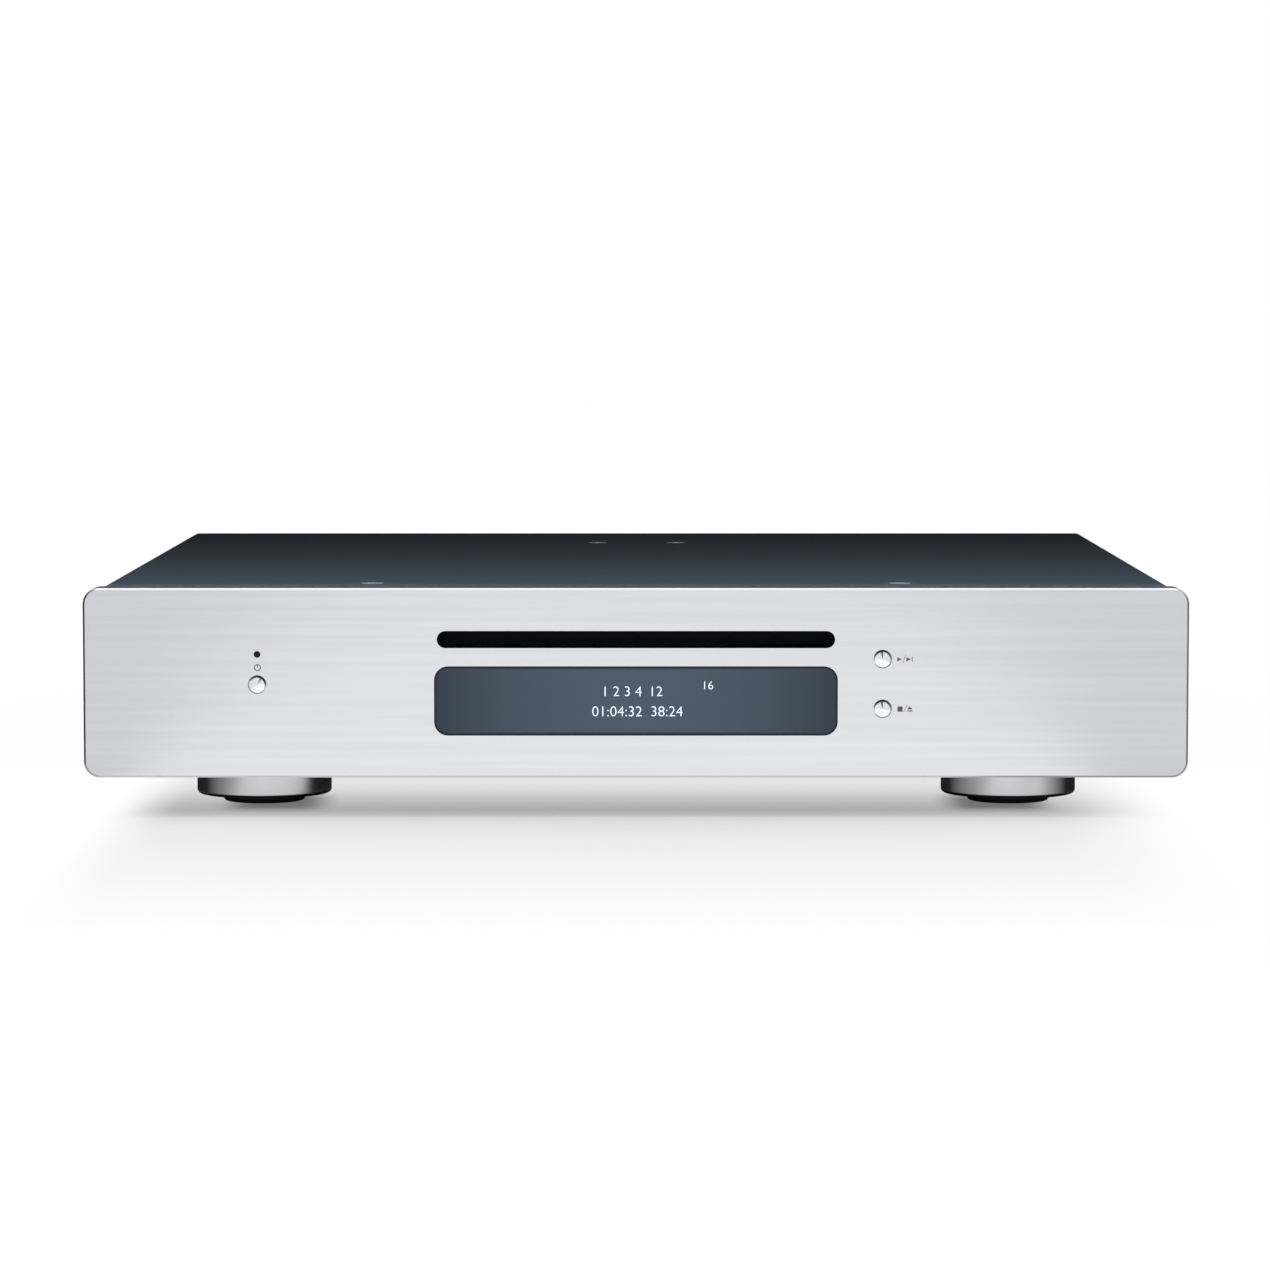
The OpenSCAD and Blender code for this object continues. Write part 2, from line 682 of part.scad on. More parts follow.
module chassis_base() color("dimgray") difference() {
    translate([0, 0, base_z + base_side]) mirror([0, 0, 1])
        through_depth([frame_d, back_d - fit]) channel(inner_w, base_side, sheet, bend_r);
    for (f = feet_at) post(f[0], f[1], past([base_z, floor_z]), foot_hole);
    for (p = concat(board_posts, loader_posts)) post(p[0], p[1], past([base_z, floor_z]), screw_hole);
    for (sx = [-1, 1], d = base_screw_d) post(sx * base_screw_x, d, past([base_z, floor_z]), screw_hole);
    for (i = [0 : vent_count - 1], row = [0, 1]) upward(past([base_z, floor_z]))
        translate([power_x[0] + 4 + vent_pitch * i, power_d[0] + vent[0] + (vent[0] + 5) * row])
            rotate(90) stadium(vent[0], vent[1]);
}

module top_cover() color("#1f2a30") difference() {
    translate([0, 0, base_z]) through_depth([frame_d, case_d])
        channel(case_w, roof_z - base_z, sheet, bend_r);
    for (sx = [-1, 1]) {
        countersink(sx * front_screw_x, front_screw_d);
        countersink(sx * rear_screw_x, rear_screw_d);
    }
}

// Hole for a flush cover screw.
module countersink(x, d) at(x, d, roof_z) rotate_extrude() polygon([
    [0, -sheet - over], [cover_neck_r + fit, -sheet - over], [cover_neck_r + fit, fit - sheet],
    [cover_head_r + fit, 0], [cover_head_r + fit, over], [0, over]]);

module rear_panel() color("dimgray") difference() {
    union() {
        through_depth([back_d, case_d]) translate([0, base_z])
            arch(inner_w, ceiling_z - fit - base_z, bend_r - sheet + 2 * fit);
        across(about(0, flange_x)) for (z = [floor_z, ceiling_z - fit - sheet])
            translate([back_d - flange, z]) square([flange + sheet, sheet]);
    }
    wall = past([back_d, case_d]);
    block(about(0, bracket_w / 2 + 2), [back_d - flange - over, back_d], past([ceiling_z - 3, ceiling_z]));
    block(about(inlet_x, inlet_w / 2 + socket_gap), wall, about(mains_z, inlet_h / 2 + socket_gap));
    block(about(rocker_x, rocker_w / 2 + rocker_wall + socket_gap), wall,
        about(mains_z, rocker_window / 2 + rocker_wall + socket_gap));
    block(about(optical_x, optical[0] + socket_gap), wall, about(optical_z, optical[1] + socket_gap));
    rod_back(coax_x, coax_z, wall, coax_r + socket_gap);
    for (i = [0, 1]) rod_back(trigger_x + i * trigger_pitch, trigger_z, wall, jack_sleeve_r + socket_gap);
    for (sx = [-1, 1]) {
        rod_back(inlet_x + sx * ear_x, mains_z, wall, screw_hole);
        rod_back(sx * bracket_screw[0], ceiling_z - bracket_screw[1], wall, screw_hole);
        post(sx * base_screw_x, base_screw_d[1], past([floor_z, floor_z + sheet]), screw_hole);
    }
}

// Carries the rear pair of cover screws, from the rear panel.
module cover_bracket() color("dimgray") difference() {
    union() {
        through_depth([rear_screw_d - 12, back_d - fit]) translate([0, ceiling_z - fit - bracket_h])
            channel(bracket_w, bracket_h, sheet, bend_r);
        block(about(0, bracket_w / 2), [back_d - fit - sheet, back_d - fit],
            [ceiling_z - fit - bracket_h - bracket_tab, ceiling_z - fit - 1]);
    }
    for (sx = [-1, 1]) {
        post(sx * rear_screw_x, rear_screw_d, past([ceiling_z - 3, ceiling_z]), cover_thread_r + fit);
        rod_back(sx * bracket_screw[0], ceiling_z - bracket_screw[1], past([back_d - 3, back_d]), screw_hole);
    }
}

module feet() color("silver") for (f = feet_at) at(f[0], f[1], 0) rotate_extrude() polygon([
    [foot_hole, base_z], [foot_d / 2, base_z], [foot_d / 2, pad_proud + foot_edge],
    [foot_d / 2 - foot_edge, pad_proud], [pad_d / 2 + fit, pad_proud],
    [pad_d / 2 + fit, pad_proud + pad_seat], [foot_cup_r, pad_proud + pad_seat],
    [foot_cup_r, base_z - foot_cup], [foot_hole, base_z - foot_cup]]);

module foot_pads() color("black") for (f = feet_at) at(f[0], f[1], 0) rotate_extrude() polygon([
    [pad_hole_r, 0], [pad_d / 2 - pad_edge, 0], [pad_d / 2, pad_edge], [pad_d / 2, pad_proud + pad_seat],
    [pad_hole_r, pad_proud + pad_seat]]);

// --- Fasteners.

// Pan head screw: its shank runs to +Z from the underside of the head.
module screw(r, l) {
    cylinder(r = r, h = l);
    translate([0, 0, -1.6 * r]) difference() {
        cylinder(r = 2 * r, h = 1.6 * r);
        for (a = [0, 90]) rotate(a)
            translate([-1.2 * r, -0.22 * r, -over]) cube([2.4 * r, 0.44 * r, over + 0.7 * r]);
    }
}

module screw_front(x, z, d, r, l) at(x, d, z) rotate([90, 0, 0]) screw(r, l); // points to the front

module screw_down(x, d, z, r, l) at(x, d, z) rotate([180, 0, 0]) screw(r, l);

module machine_screws() color("silver") {
    for (s = spacers) screw_front(s[0], s[1], frame_d + sheet, screw_r, sheet + shadow_gap + spacer_grip);
    for (s = concat(display_screws, key_screws))
        screw_front(s[0], s[1], panel_t + board_t, small_screw_r, board_t + small_grip);
    for (p = board_posts) screw_down(p[0], p[1], board_z + board_t, screw_r, board_t + post_grip);
    for (p = loader_posts) screw_down(p[0], p[1], deck_z, screw_r, deck_t + loader_grip);
    for (sx = [-1, 1]) {
        for (d = bridge_posts_d)
            screw_down(sx * post_x, d, bridge_z + bridge_t, screw_r, bridge_t + bridge_grip);
        screw_front(sx * bracket_screw[0], ceiling_z - bracket_screw[1], case_d, screw_r,
            2 * sheet + thread_end);
        screw_front(inlet_x + sx * ear_x, mains_z, case_d + ear_t, screw_r, ear_t + sheet + 3 * thread_end);
        for (d = base_screw_d) at(sx * base_screw_x, d, base_z) screw(screw_r, 2 * sheet + thread_end);
    }
}

module cover_screws() color("#2a3238")
    for (sx = [-1, 1], p = [[front_screw_x, front_screw_d], [rear_screw_x, rear_screw_d]])
        at(sx * p[0], p[1], roof_z) difference() {
            rotate_extrude() polygon([
                [0, -sheet - 6], [cover_thread_r, -sheet - 6], [cover_thread_r, -sheet],
                [cover_neck_r, -sheet], [cover_head_r, 0], [0, 0]]);
            translate([0, 0, -1.2]) cylinder(r = 1.45, h = 2, $fn = 6); // hexagon socket
        }

module foot_screws() color("silver") for (f = feet_at) at(f[0], f[1], base_z - foot_cup) {
    screw(foot_screw_r, foot_cup + sheet + nut[1] + thread_end);
    translate([0, 0, foot_cup + sheet]) difference() {
        cylinder(r = nut[0], h = nut[1], $fn = 6);
        translate([0, 0, -over]) cylinder(r = foot_screw_r - fit / 2, h = nut[1] + 2 * over);
    }
}

module standoffs() color("goldenrod") {
    for (p = board_posts) standoff(p, board_z);
    for (p = loader_posts) standoff(p, deck_z - deck_t);
}

module standoff(p, top) at(p[0], p[1], floor_z) difference() {
    cylinder(r = standoff_r, h = top - floor_z, $fn = 6);
    translate([0, 0, -over]) cylinder(r = screw_hole, h = top - floor_z + 2 * over);
}

// --- Loader.

module loader_frame() color("#303030") difference() {
    union() {
        block(about(0, deck_x), loader_d, [deck_z - deck_t, deck_z]);
        for (sx = [-1, 1]) scale_x(sx) {
            block([wall_x, wall_x + wall_t], loader_d, [deck_z, wall_top]);
            block([wall_x - rail_w, wall_x], loader_d, near(tray_z - run_gap, [-rail_t, 0]));
            for (d = clips_d)
                block([wall_x - clip_reach, wall_x], [d, d + clip_l], [tray_top + run_gap, wall_top]);
            for (d = bridge_posts_d) post(post_x, d, [deck_z, bridge_z], bridge_post_r);
            block(near(bay_x, [0.5, 3.5]), about(pivot_d, 6), [deck_z, pivot_z + 2 * pivot_r]); // pivot ears
        }
        for (d = [loader_d[0], loader_d[1] - wall_t])
            block(about(0, wall_x), [d, d + wall_t], [deck_z, tray_z - run_gap - rail_t]);
        post(drive_x, drive_d, [deck_z, drive_top - run_gap], axle_r);
        post(drive_x, drive_d, [deck_z, wheel_z - run_gap], axle_r + axle_foot);
        post(pulley_x, drive_d, [deck_z, wheel_z + wheel_t + 0.4], axle_r);
        post(pulley_x, drive_d, [deck_z, belt_z - groove_h - run_gap], axle_r + axle_foot);
        for (x = [-pin_x, pin_x]) { // hooks over the cam slider
            block(about(x, hook_w / 2), near(cam_d, [-7.3, -5.3]), [deck_z, hook_z[1]]);
            block(about(x, hook_w / 2), near(cam_d, [-5.3, -2.8]), hook_z);
        }
    }
    block(about(0, bay_x), [cam_d - bay_gap, pivot_d + 8], [deck_z - deck_t - over, deck_z + 0.01]);
    for (sx = [-1, 1]) rod_side(pivot_d, pivot_z, about(sx * (bay_x + 2), 3), pivot_r + axle_gap);
    post(motor_x, drive_d, past([deck_z - deck_t, deck_z]), motor_neck_r + 2 * fit);
    for (p = loader_posts) post(p[0], p[1], past([deck_z - deck_t, deck_z]), screw_hole);
    for (sx = [-1, 1], d = bridge_posts_d)
        post(sx * post_x, d, [bridge_z - bridge_grip - over, bridge_z + over], tap_r);
}

module scale_x(sx) mirror([sx < 0 ? 1 : 0, 0, 0]) children();

module disc_tray() color("#202225") difference() {
    through_depth(tray_d) translate([0, slot_z]) stadium(tray_w, tray_t);
    post(0, disc_d, [well_z, tray_top + over], well_r);
    post(0, disc_d, past([tray_z, tray_top]), tray_window_w / 2 + 1.5);
    block(about(0, tray_window_w / 2), [disc_d, tray_d[1] + over], past([tray_z, tray_top]));
    upward([tray_z - over, tray_z + channel_depth]) rack_channel();
    for (sx = [-1, 1])
        rod_back(sx * peg_x, slot_z, near(tray_d[0], [-over, peg_l + 2 * fit]), peg_r + fit / 2);
}

// Channel in the tray's underside, with rack teeth along one wall.
module rack_channel() {
    from = tray_d[0] + 3;
    to = tray_d[1] + over;
    teeth = rack_points(rack_module, from - drive_d + 2, tray_travel + 4 * PI * rack_module, 0.1);
    translate([rack_x, drive_d]) polygon(concat(
        [[channel_x - rack_x, from - drive_d], [-1.25 * rack_module, from - drive_d]], teeth,
        [[-1.25 * rack_module, to - drive_d], [channel_x - rack_x, to - drive_d]]));
}

module tray_front() color("#101215") {
    through_depth(near(tray_set_back, [0, tray_front_t])) translate([0, slot_z]) stadium(tray_w, tray_t);
    for (sx = [-1, 1]) rod_back(sx * peg_x, slot_z, near(tray_d[0], [0, peg_l]), peg_r);
}

module drive_gear() color("ivory") at(drive_x, drive_d, 0) difference() {
    union() {
        translate([0, 0, wheel_z]) gear(wheel_teeth, train_module, wheel_t);
        translate([0, 0, wheel_z + wheel_t / 2]) rotate(180 / pinion_teeth)
            gear(pinion_teeth, rack_module, drive_top - wheel_z - wheel_t / 2);
    }
    cylinder_between(wheel_z - over, drive_top + over, axle_r + axle_gap);
}

module pulley_gear() color("ivory") at(pulley_x, drive_d, 0) difference() {
    union() {
        translate([0, 0, belt_z]) rotate_extrude() pulley_profile(pulley_r);
        translate([0, 0, belt_z + 1]) rotate(180 + 180 / pulley_teeth)
            gear(pulley_teeth, train_module, wheel_z + wheel_t + 0.2 - belt_z - 1);
    }
    cylinder_between(belt_z - groove_h - over, wheel_z + wheel_t + 2 * over, axle_r + axle_gap);
}

// Half section of a grooved pulley, centred on the belt's height.
module pulley_profile(r) {
    rim = r + belt_t / 2;
    bed = r - belt_t / 2 - fit / 2;
    polygon([[0, -groove_h], [rim, -groove_h], [rim, -0.75], [bed, -0.65], [bed, 0.65], [rim, 0.75],
        [rim, groove_h], [0, groove_h]]);
}

module motor_pulley() color("ivory") at(motor_x, drive_d, belt_z) difference() {
    rotate_extrude() pulley_profile(motor_pulley_r);
    cylinder_between(-groove_h - over, groove_h + over, motor_shaft_r + 0.03);
}

// Points of an arc of radius r about c, from angle a through turn.
function arc_points(c, r, a, turn, count) =
    [for (i = [0 : count]) c + r * [cos(a + turn * i / count), sin(a + turn * i / count)]];

// Outline of the belt, moved out by e: an arc round the pulley, and one round the motor's pulley.
function belt_points(e) =
    let (lean = asin((pulley_r - motor_pulley_r) / belt_span))
    concat(arc_points([0, 0], pulley_r + e, 90 - lean, 180 + 2 * lean, 28),
        arc_points([belt_span, 0], motor_pulley_r + e, lean - 90, 180 - 2 * lean, 12));

module loading_belt() color("black") at(pulley_x, drive_d, belt_z - belt_t / 2)
    linear_extrude(belt_t) difference() {
        polygon(belt_points(belt_t / 2));
        polygon(belt_points(-belt_t / 2));
    }

module loading_motor() color("silver") at(motor_x, drive_d, deck_z - deck_t) {
    translate([0, 0, -motor_l]) cylinder(r = motor_r, h = motor_l);
    cylinder(r = motor_neck_r, h = 1.5);
    cylinder(r = motor_shaft_r, h = belt_z - deck_z + deck_t + groove_h + fit);
    for (sx = [-1, 1]) translate([sx * 5 - terminal[0] / 2, -terminal[1] / 2, -motor_l - terminal[2] + 0.5])
        cube(terminal);
}

module cam_slider() color("#d8d8d0") difference() {
    union() {
        block(cam_x, near(cam_d, [0, cam_t]), [pin_z - cam_drop - 3.6, pin_z + 3.1]);
        block(cam_x, near(cam_d, [-5, cam_t]), [deck_z + 0.15, hook_z[0] - 0.15]);
    }
    through_depth(near(cam_d, [-6, cam_t + over])) for (x = [-pin_x, pin_x])
        polygon(slot_points([x, pin_z], [x - cam_travel, pin_z - cam_drop], pin_r + 0.15));
}

// --- Traverse.

module traverse_cradle() color("#303030") {
    difference() {
        union() {
            block(about(0, cradle_x), cradle_d, cradle_z);
            for (sx = [-1, 1], d = mount_d) post(sx * mount_x, d, cradle_z, mount_r);
        }
        difference() {
            block(about(0, cradle_x - 5), cradle_d + cradle_rim, past(cradle_z));
            for (sx = [-1, 1], d = mount_d) post(sx * mount_x, d, past(past(cradle_z)), mount_r);
        }
        for (sx = [-1, 1], d = mount_d) post(sx * mount_x, d, near(over, cradle_z), 1.2);
    }
    for (sx = [-1, 1]) {
        scale_x(sx) rod_side(pivot_d, pivot_z, [cradle_x - 1, bay_x + 3.3], pivot_r);
        rod_back(sx * pin_x, pin_z, [cam_d - 0.4, cradle_d[0] + 1], pin_r);
    }
}

module traverse_plate() color("silver") {
    post(sled_gear_x, sled_gear_d, [sled_pinion_z - 1.3, plate_z + 0.5], sled_axle_r);
    post(sled_gear_x, sled_gear_d, near(sled_pinion_z, [-1.3, -run_gap]), sled_axle_r + 1);
    difference() {
        union() {
            upward([plate_z, plate_z + plate_t]) {
                translate([-plate_x, disc_d - 14]) square([2 * plate_x, mount_d[1] - disc_d + 18]);
                for (sx = [-1, 1], d = mount_d) {
                    translate([sx * mount_x, d]) circle(mount_r);
                    translate([sx * (mount_x - 3.5) - 3.5, d - mount_r]) square([7, 2 * mount_r]);
                }
                translate([plate_x - 3, sled_motor_d - 8]) square([step_x - plate_x + 3, 16]);
            }
            for (sx = [-1, 1], d = [rod_d[0], rod_d[1] - rod_block])
                block(about(sx * rod_x, 2.6), [d, d + rod_block], [rod_z - 2.4, plate_z]);
            // Step that carries the pickup motor.
            post(sled_motor_x, sled_motor_d, near(sled_motor_top, [0, step_t]), 6);
            block([sled_motor_x, step_x], about(sled_motor_d, 6), near(sled_motor_top, [0, step_t]));
            block([step_x - step_t, step_x], about(sled_motor_d, 6), [sled_motor_top, plate_z]);
        }
        hole = past([plate_z, plate_z + plate_t]);
        post(0, disc_d, hole, 4);
        block(about(0, 11), near(lens_d, [-10.5, sled_travel + 13]), hole);
        for (sx = [-1, 1], d = mount_d) post(sx * mount_x, d, hole, 2.5);
        for (sx = [-1, 1]) rod_back(sx * rod_x, rod_z, past(rod_d), rod_r + 0.02);
        post(sled_gear_x, sled_gear_d, near(sled_motor_top, [-over, step_t + fit]),
            sled_pitch_r + sled_module + 0.6);
        post(sled_motor_x, sled_motor_d, past([sled_motor_top, sled_motor_top + step_t]), 1.6);
    }
}

module traverse_grommets() color("black")
    for (sx = [-1, 1], d = mount_d) at(sx * mount_x, d, 0) rotate_extrude() polygon([
        [1.4, cradle_z[1] + fit], [3.6, cradle_z[1] + fit], [3.6, plate_z - fit], [2.4, plate_z - fit],
        [2.4, plate_top + fit], [3.6, plate_top + fit], [3.6, grommet_top], [1.4, grommet_top]]);

module traverse_screws() color("silver")
    for (sx = [-1, 1], d = mount_d) at(sx * mount_x, d, 0) rotate_extrude() polygon([
        [0, cradle_z[0] + 1.5], [1.15, cradle_z[0] + 1.5], [1.15, grommet_top], [2.6, grommet_top],
        [2.2, grommet_top + 1.1], [0, grommet_top + 1.1]]);

module spindle_motor() color("silver") at(0, disc_d, 0) {
    cylinder_between(plate_z - 8, plate_z, spindle_r);
    cylinder_between(plate_z, plate_top + 0.8, 3.2);
    cylinder_between(plate_z, seat_z - 1, spindle_shaft_r);
}

module cylinder_between(from, to, r) translate([0, 0, from]) cylinder(r = r, h = to - from);

module turntable() color("#2b2d30") at(0, disc_d, 0) rotate_extrude() polygon([
    [1, plate_top + 1.2], [9, plate_top + 1.2], [14, seat_z - 1.6], [14, seat_z], [7.4, seat_z],
    [7.4, seat_z + 1], [5.4, seat_z + 1.8], [2.5, seat_z + 1.8], [2.5, seat_z + 0.9], [1, seat_z + 0.9]]);

module pickup_sled() color("#3a3d42") difference() {
    union() {
        block(about(0, sled_x), sled_d, [rod_z - 3.5, plate_z - 0.9]);
        block(about(0, 8), about(lens_d, 7.5), [plate_z - 0.9, seat_z - 3]);
        upward([sled_pinion_z + 0.2, sled_wheel_z - run_gap]) sled_rack();
    }
    for (sx = [-1, 1]) rod_back(sx * rod_x, rod_z, past(sled_d), rod_r + 0.06);
    post(0, lens_d, [seat_z - 5, seat_z], 4.2);
}

// Rack on the side of the pickup, in mesh with its pinion.
module sled_rack() {
    from = sled_gear_d - sled_travel - 3.5;
    to = sled_gear_d + 4;
    teeth = rack_points(sled_module, from - sled_gear_d + 1, to - sled_gear_d - 1, 0.1);
    base = sled_x - 0.5 - sled_rack_x;
    translate([sled_rack_x, sled_gear_d]) polygon(concat(
        [[base, from - sled_gear_d], [-1.25 * sled_module, from - sled_gear_d]], teeth,
        [[-1.25 * sled_module, to - sled_gear_d], [base, to - sled_gear_d]]));
}

module objective_lens() color("lightsteelblue") at(0, lens_d, 0) {
    cylinder_between(seat_z - 5, seat_z - 2.2, 3.8);
    translate([0, 0, seat_z - 2.2]) intersection() {
        translate([0, 0, -5.2]) sphere(r = 6);
        cylinder(r = 2.9, h = 3);
    }
}

module guide_rods() color("silver") for (sx = [-1, 1]) rod_back(sx * rod_x, rod_z, rod_d, rod_r);

module sled_gear() color("ivory") at(sled_gear_x, sled_gear_d, 0) difference() {
    union() {
        translate([0, 0, sled_pinion_z]) rotate(180 / sled_pinion_teeth)
            gear(sled_pinion_teeth, sled_module, sled_wheel_z + sled_wheel_t / 2 - sled_pinion_z);
        translate([0, 0, sled_wheel_z]) rotate(45) gear(sled_wheel_teeth, sled_module, sled_wheel_t);
    }
    cylinder_between(sled_pinion_z - over, sled_wheel_z + sled_wheel_t + over, sled_axle_r + axle_gap);
}

module sled_motor() color("silver") at(sled_motor_x, sled_motor_d, 0) {
    cylinder_between(sled_motor_top - sled_motor_l, sled_motor_top, sled_motor_r);
    cylinder_between(sled_motor_top, sled_wheel_z + 1.4, sled_shaft_r);
}

module motor_pinion() color("ivory") at(sled_motor_x, sled_motor_d, 0) difference() {
    translate([0, 0, sled_wheel_z]) rotate(45 + 180 + 180 / sled_motor_teeth)
        gear(sled_motor_teeth, sled_module, sled_wheel_t);
    cylinder_between(sled_wheel_z - over, sled_wheel_z + sled_wheel_t + over, sled_shaft_r + 0.03);
}

// --- Clamp.

module clamp_bridge() color("silver") difference() {
    across(about(0, post_x + bridge_post_r + fit)) {
        translate([bridge_d[0], bridge_z]) square([bridge_d[1] - bridge_d[0], bridge_t]);
        for (d = [bridge_d[0], bridge_d[1] - bridge_t])
            translate([d, bridge_z]) square([bridge_t, bridge_fold]);
    }
    hole = past([bridge_z, bridge_z + bridge_t]);
    post(0, disc_d, hole, puck_r + 0.8);
    for (sx = [-1, 1], d = bridge_posts_d) post(sx * post_x, d, hole, screw_hole);
}

module clamp_puck() color("#303030") at(0, disc_d, 0) rotate_extrude() polygon([
    [0, bridge_z + 0.5], [9, bridge_z + 0.5], [9, seat_z + disc_t + 0.2], [puck_r, seat_z + disc_t + 0.2],
    [puck_r, bridge_top + 0.2], [puck_rim_r, bridge_top + 0.2], [puck_rim_r, bridge_top + 1.8],
    [0, bridge_top + 1.8]]);

// --- Electronics.

module main_board() color("darkgreen") {
    difference() {
        block(main_x, main_d, [board_z, board_z + board_t]);
        for (p = board_posts) post(p[0], p[1], past([board_z, board_z + board_t]), screw_hole);
    }
    top = board_z + board_t;
    block(about(ribbon_x, plug_w / 2 + 2), near(main_d[0], [3, 9]), [top, top + 5]); // ribbon socket
    block(near(main_x[0], [2, 8]), about(harness_d, harness_w / 2), [top, top + 6]); // power socket
    for (c = chips)
        block(near(main_x[0] + c[0], [0, c[2]]), near(main_d[0] + c[1], [0, c[2]]), [top, top + chip_t]);
    block(near(main_x[0] + crystal[0], [0, crystal[2]]), near(main_d[0] + crystal[1], [0, crystal[3]]),
        [top, top + crystal[3]]);
}

module power_board() color("#6a5a2a") {
    difference() {
        block(power_x, power_d, [board_z, board_z + board_t]);
        for (p = board_posts) post(p[0], p[1], past([board_z, board_z + board_t]), screw_hole);
    }
    top = board_z + board_t;
    block(about(inlet_x, 11), about(terminals_d, 5), [top, top + 10]); // mains terminals
    block(near(power_x[1], [-8, -2]), about(harness_d, harness_w / 2), [top, top + 6]); // power socket
    across(sink_x) translate([sink_d, top]) { // finned heat sink
        square([3, sink_h]);
        for (i = [0 : 4]) translate([1.5 - fin[0] / 2, 4 + fin_pitch * i]) square(fin);
    }
}

module power_transformer() color("#c9a13b") {
    top = board_z + board_t;
    z = top + bobbin[2];
    block(about(core_at[0], bobbin[0] / 2), about(core_at[1], bobbin[1] / 2), [top, z]);
    block(about(core_at[0], coil[0] / 2), about(core_at[1], coil[1] / 2), [z, z + coil[2]]);
    difference() {
        block(about(core_at[0], core[0] / 2), about(core_at[1], core[1] / 2), [z, z + core[2]]);
        block(about(core_at[0], core[0] / 2 - core_limb), past(about(core_at[1], core[1] / 2)),
            [z + 3, z + core[2] - core_limb]);
    }
}

module capacitors() color("#20242c") {
    top = board_z + board_t;
    for (c = cans) post(power_x[0] + c[0], power_d[0] + c[1], [top, top + c[3]], c[2]);
    for (i = [0 : 4]) post(main_x[0] + 54 + small_can_pitch * i, main_d[0] + 74 - 6 * (i % 2),
        [top, top + small_can[1]], small_can[0]);
}

// --- Rear sockets.

module mains_inlet() color("black") difference() {
    union() {
        block(about(inlet_x, inlet_w / 2), [case_d - inlet_depth, case_d], about(mains_z, inlet_h / 2));
        through_depth([case_d, case_d + ear_t]) translate([inlet_x, mains_z]) {
            square([inlet_w + 3, inlet_h + 3], center = true);
            stadium(2 * ear_x + 9, 9);
        }
    }
    w = cavity[0] / 2;
    h = cavity[1] / 2;
    through_depth(near(case_d + ear_t, [-cavity[2], over])) translate([inlet_x, mains_z]) polygon([
        [-w, -h], [w, -h], [w, h - cavity_bevel[1]], [w - cavity_bevel[0], h], [cavity_bevel[0] - w, h],
        [-w, h - cavity_bevel[1]]]);
    for (sx = [-1, 1]) rod_back(inlet_x + sx * ear_x, mains_z, past([case_d, case_d + ear_t]), screw_hole);
    for (p = inlet_pins_at) inlet_pin(p, [-inlet_depth - over, 0], blade_gap);
}

module inlet_pins() color("silver")
    for (p = inlet_pins_at) inlet_pin(p, [-inlet_depth - blade_end, -1], 0);

module inlet_pin(p, d, gap) block(about(inlet_x + p[0], blade[0] / 2 + gap), near(case_d, d),
    about(mains_z + p[1], blade[1] / 2 + gap));

module rocker_housing() color("black") difference() {
    union() {
        rocker_block(rocker_wall, [-18, 0]);
        rocker_block(rocker_rim[0], [0, rocker_rim[1]]);
    }
    rocker_block(0, [-9, rocker_rim[1] + over]);
    rod_side(case_d - rocker_pivot, mains_z, about(rocker_x, rocker_w / 2 + 0.8), 1 + axle_gap);
}

// Block round the rocker's opening, wider by wall on every side.
module rocker_block(wall, d)
    block(about(rocker_x, rocker_w / 2 + wall), near(case_d, d), about(mains_z, rocker_window / 2 + wall));

// The rocker rests on its lower stop, half of its swing from the middle.
module power_rocker() color("#181818")
    at(rocker_x, case_d - rocker_pivot, mains_z) rotate([-rocker_swing / 2, 0, 0]) {
        rotate([90, 0, 90]) translate([0, 0, -rocker_w / 2 + 0.3]) linear_extrude(rocker_w - 0.6)
            polygon([[-2, -7.4], [3.4, -8.4], [5.4, -8], [4, 0], [5.4, 8], [3.4, 8.4], [-2, 7.4]]);
        rotate([0, 90, 0]) translate([0, 0, -rocker_w / 2 - 0.7]) cylinder(r = 1, h = rocker_w + 1.4);
    }

module coax_socket() color("gold") {
    block(about(coax_x, 6), near(case_d, [-socket_back - 1, -sheet - fit]), [socket_z, coax_z + 6]);
    difference() {
        union() {
            rod_back(coax_x, coax_z, near(case_d, [-sheet - 1, coax_proud]), coax_r);
            rod_back(coax_x, coax_z, near(case_d, [0, coax_collar[1]]), coax_collar[0]);
        }
        rod_back(coax_x, coax_z, near(case_d, [0.5, coax_proud + over]), coax_bore_r);
    }
    difference() {
        rod_back(coax_x, coax_z, near(case_d, [-1, coax_proud - 1.2]), coax_pin_r);
        rod_back(coax_x, coax_z, near(case_d, [0, coax_proud]), coax_pin_r - 1);
    }
}

module optical_socket() color("black") difference() {
    block(about(optical_x, optical[0]), near(case_d, [-socket_back, 0.5]), about(optical_z, optical[1]));
    block(about(optical_x, optical_mouth), near(case_d, [-8, 0.5 + over]), about(optical_z, optical_mouth));
}

module trigger_sockets() color("black") for (i = [0, 1]) translate([i * trigger_pitch, 0, 0]) difference() {
    union() {
        block(about(trigger_x, 3.5), near(case_d, [-socket_back, -sheet - fit]), [socket_z, trigger_z + 4]);
        rod_back(trigger_x, trigger_z, near(case_d, [-sheet - 1, 2]), jack_sleeve_r);
    }
    rod_back(trigger_x, trigger_z, near(case_d, [-jack_l, 2 + over]), jack_r);
}

// Mains leads from the inlet, and the harness from board to board.
module wiring() color("#8a5a3a") {
    top = board_z + board_t;
    for (p = inlet_pins_at) {
        rod_back(inlet_x + p[0], mains_z + p[1], [terminals_d, case_d - inlet_depth - blade_end], lead_r);
        at(inlet_x + p[0], terminals_d, mains_z + p[1]) sphere(r = lead_r);
        post(inlet_x + p[0], terminals_d, [top + 10, mains_z + p[1]], lead_r);
    }
    for (i = [-1 : 1]) rod_side(harness_d + 3 * i, top + 3, [power_x[1] - 2, main_x[0] + 2], lead_r);
}

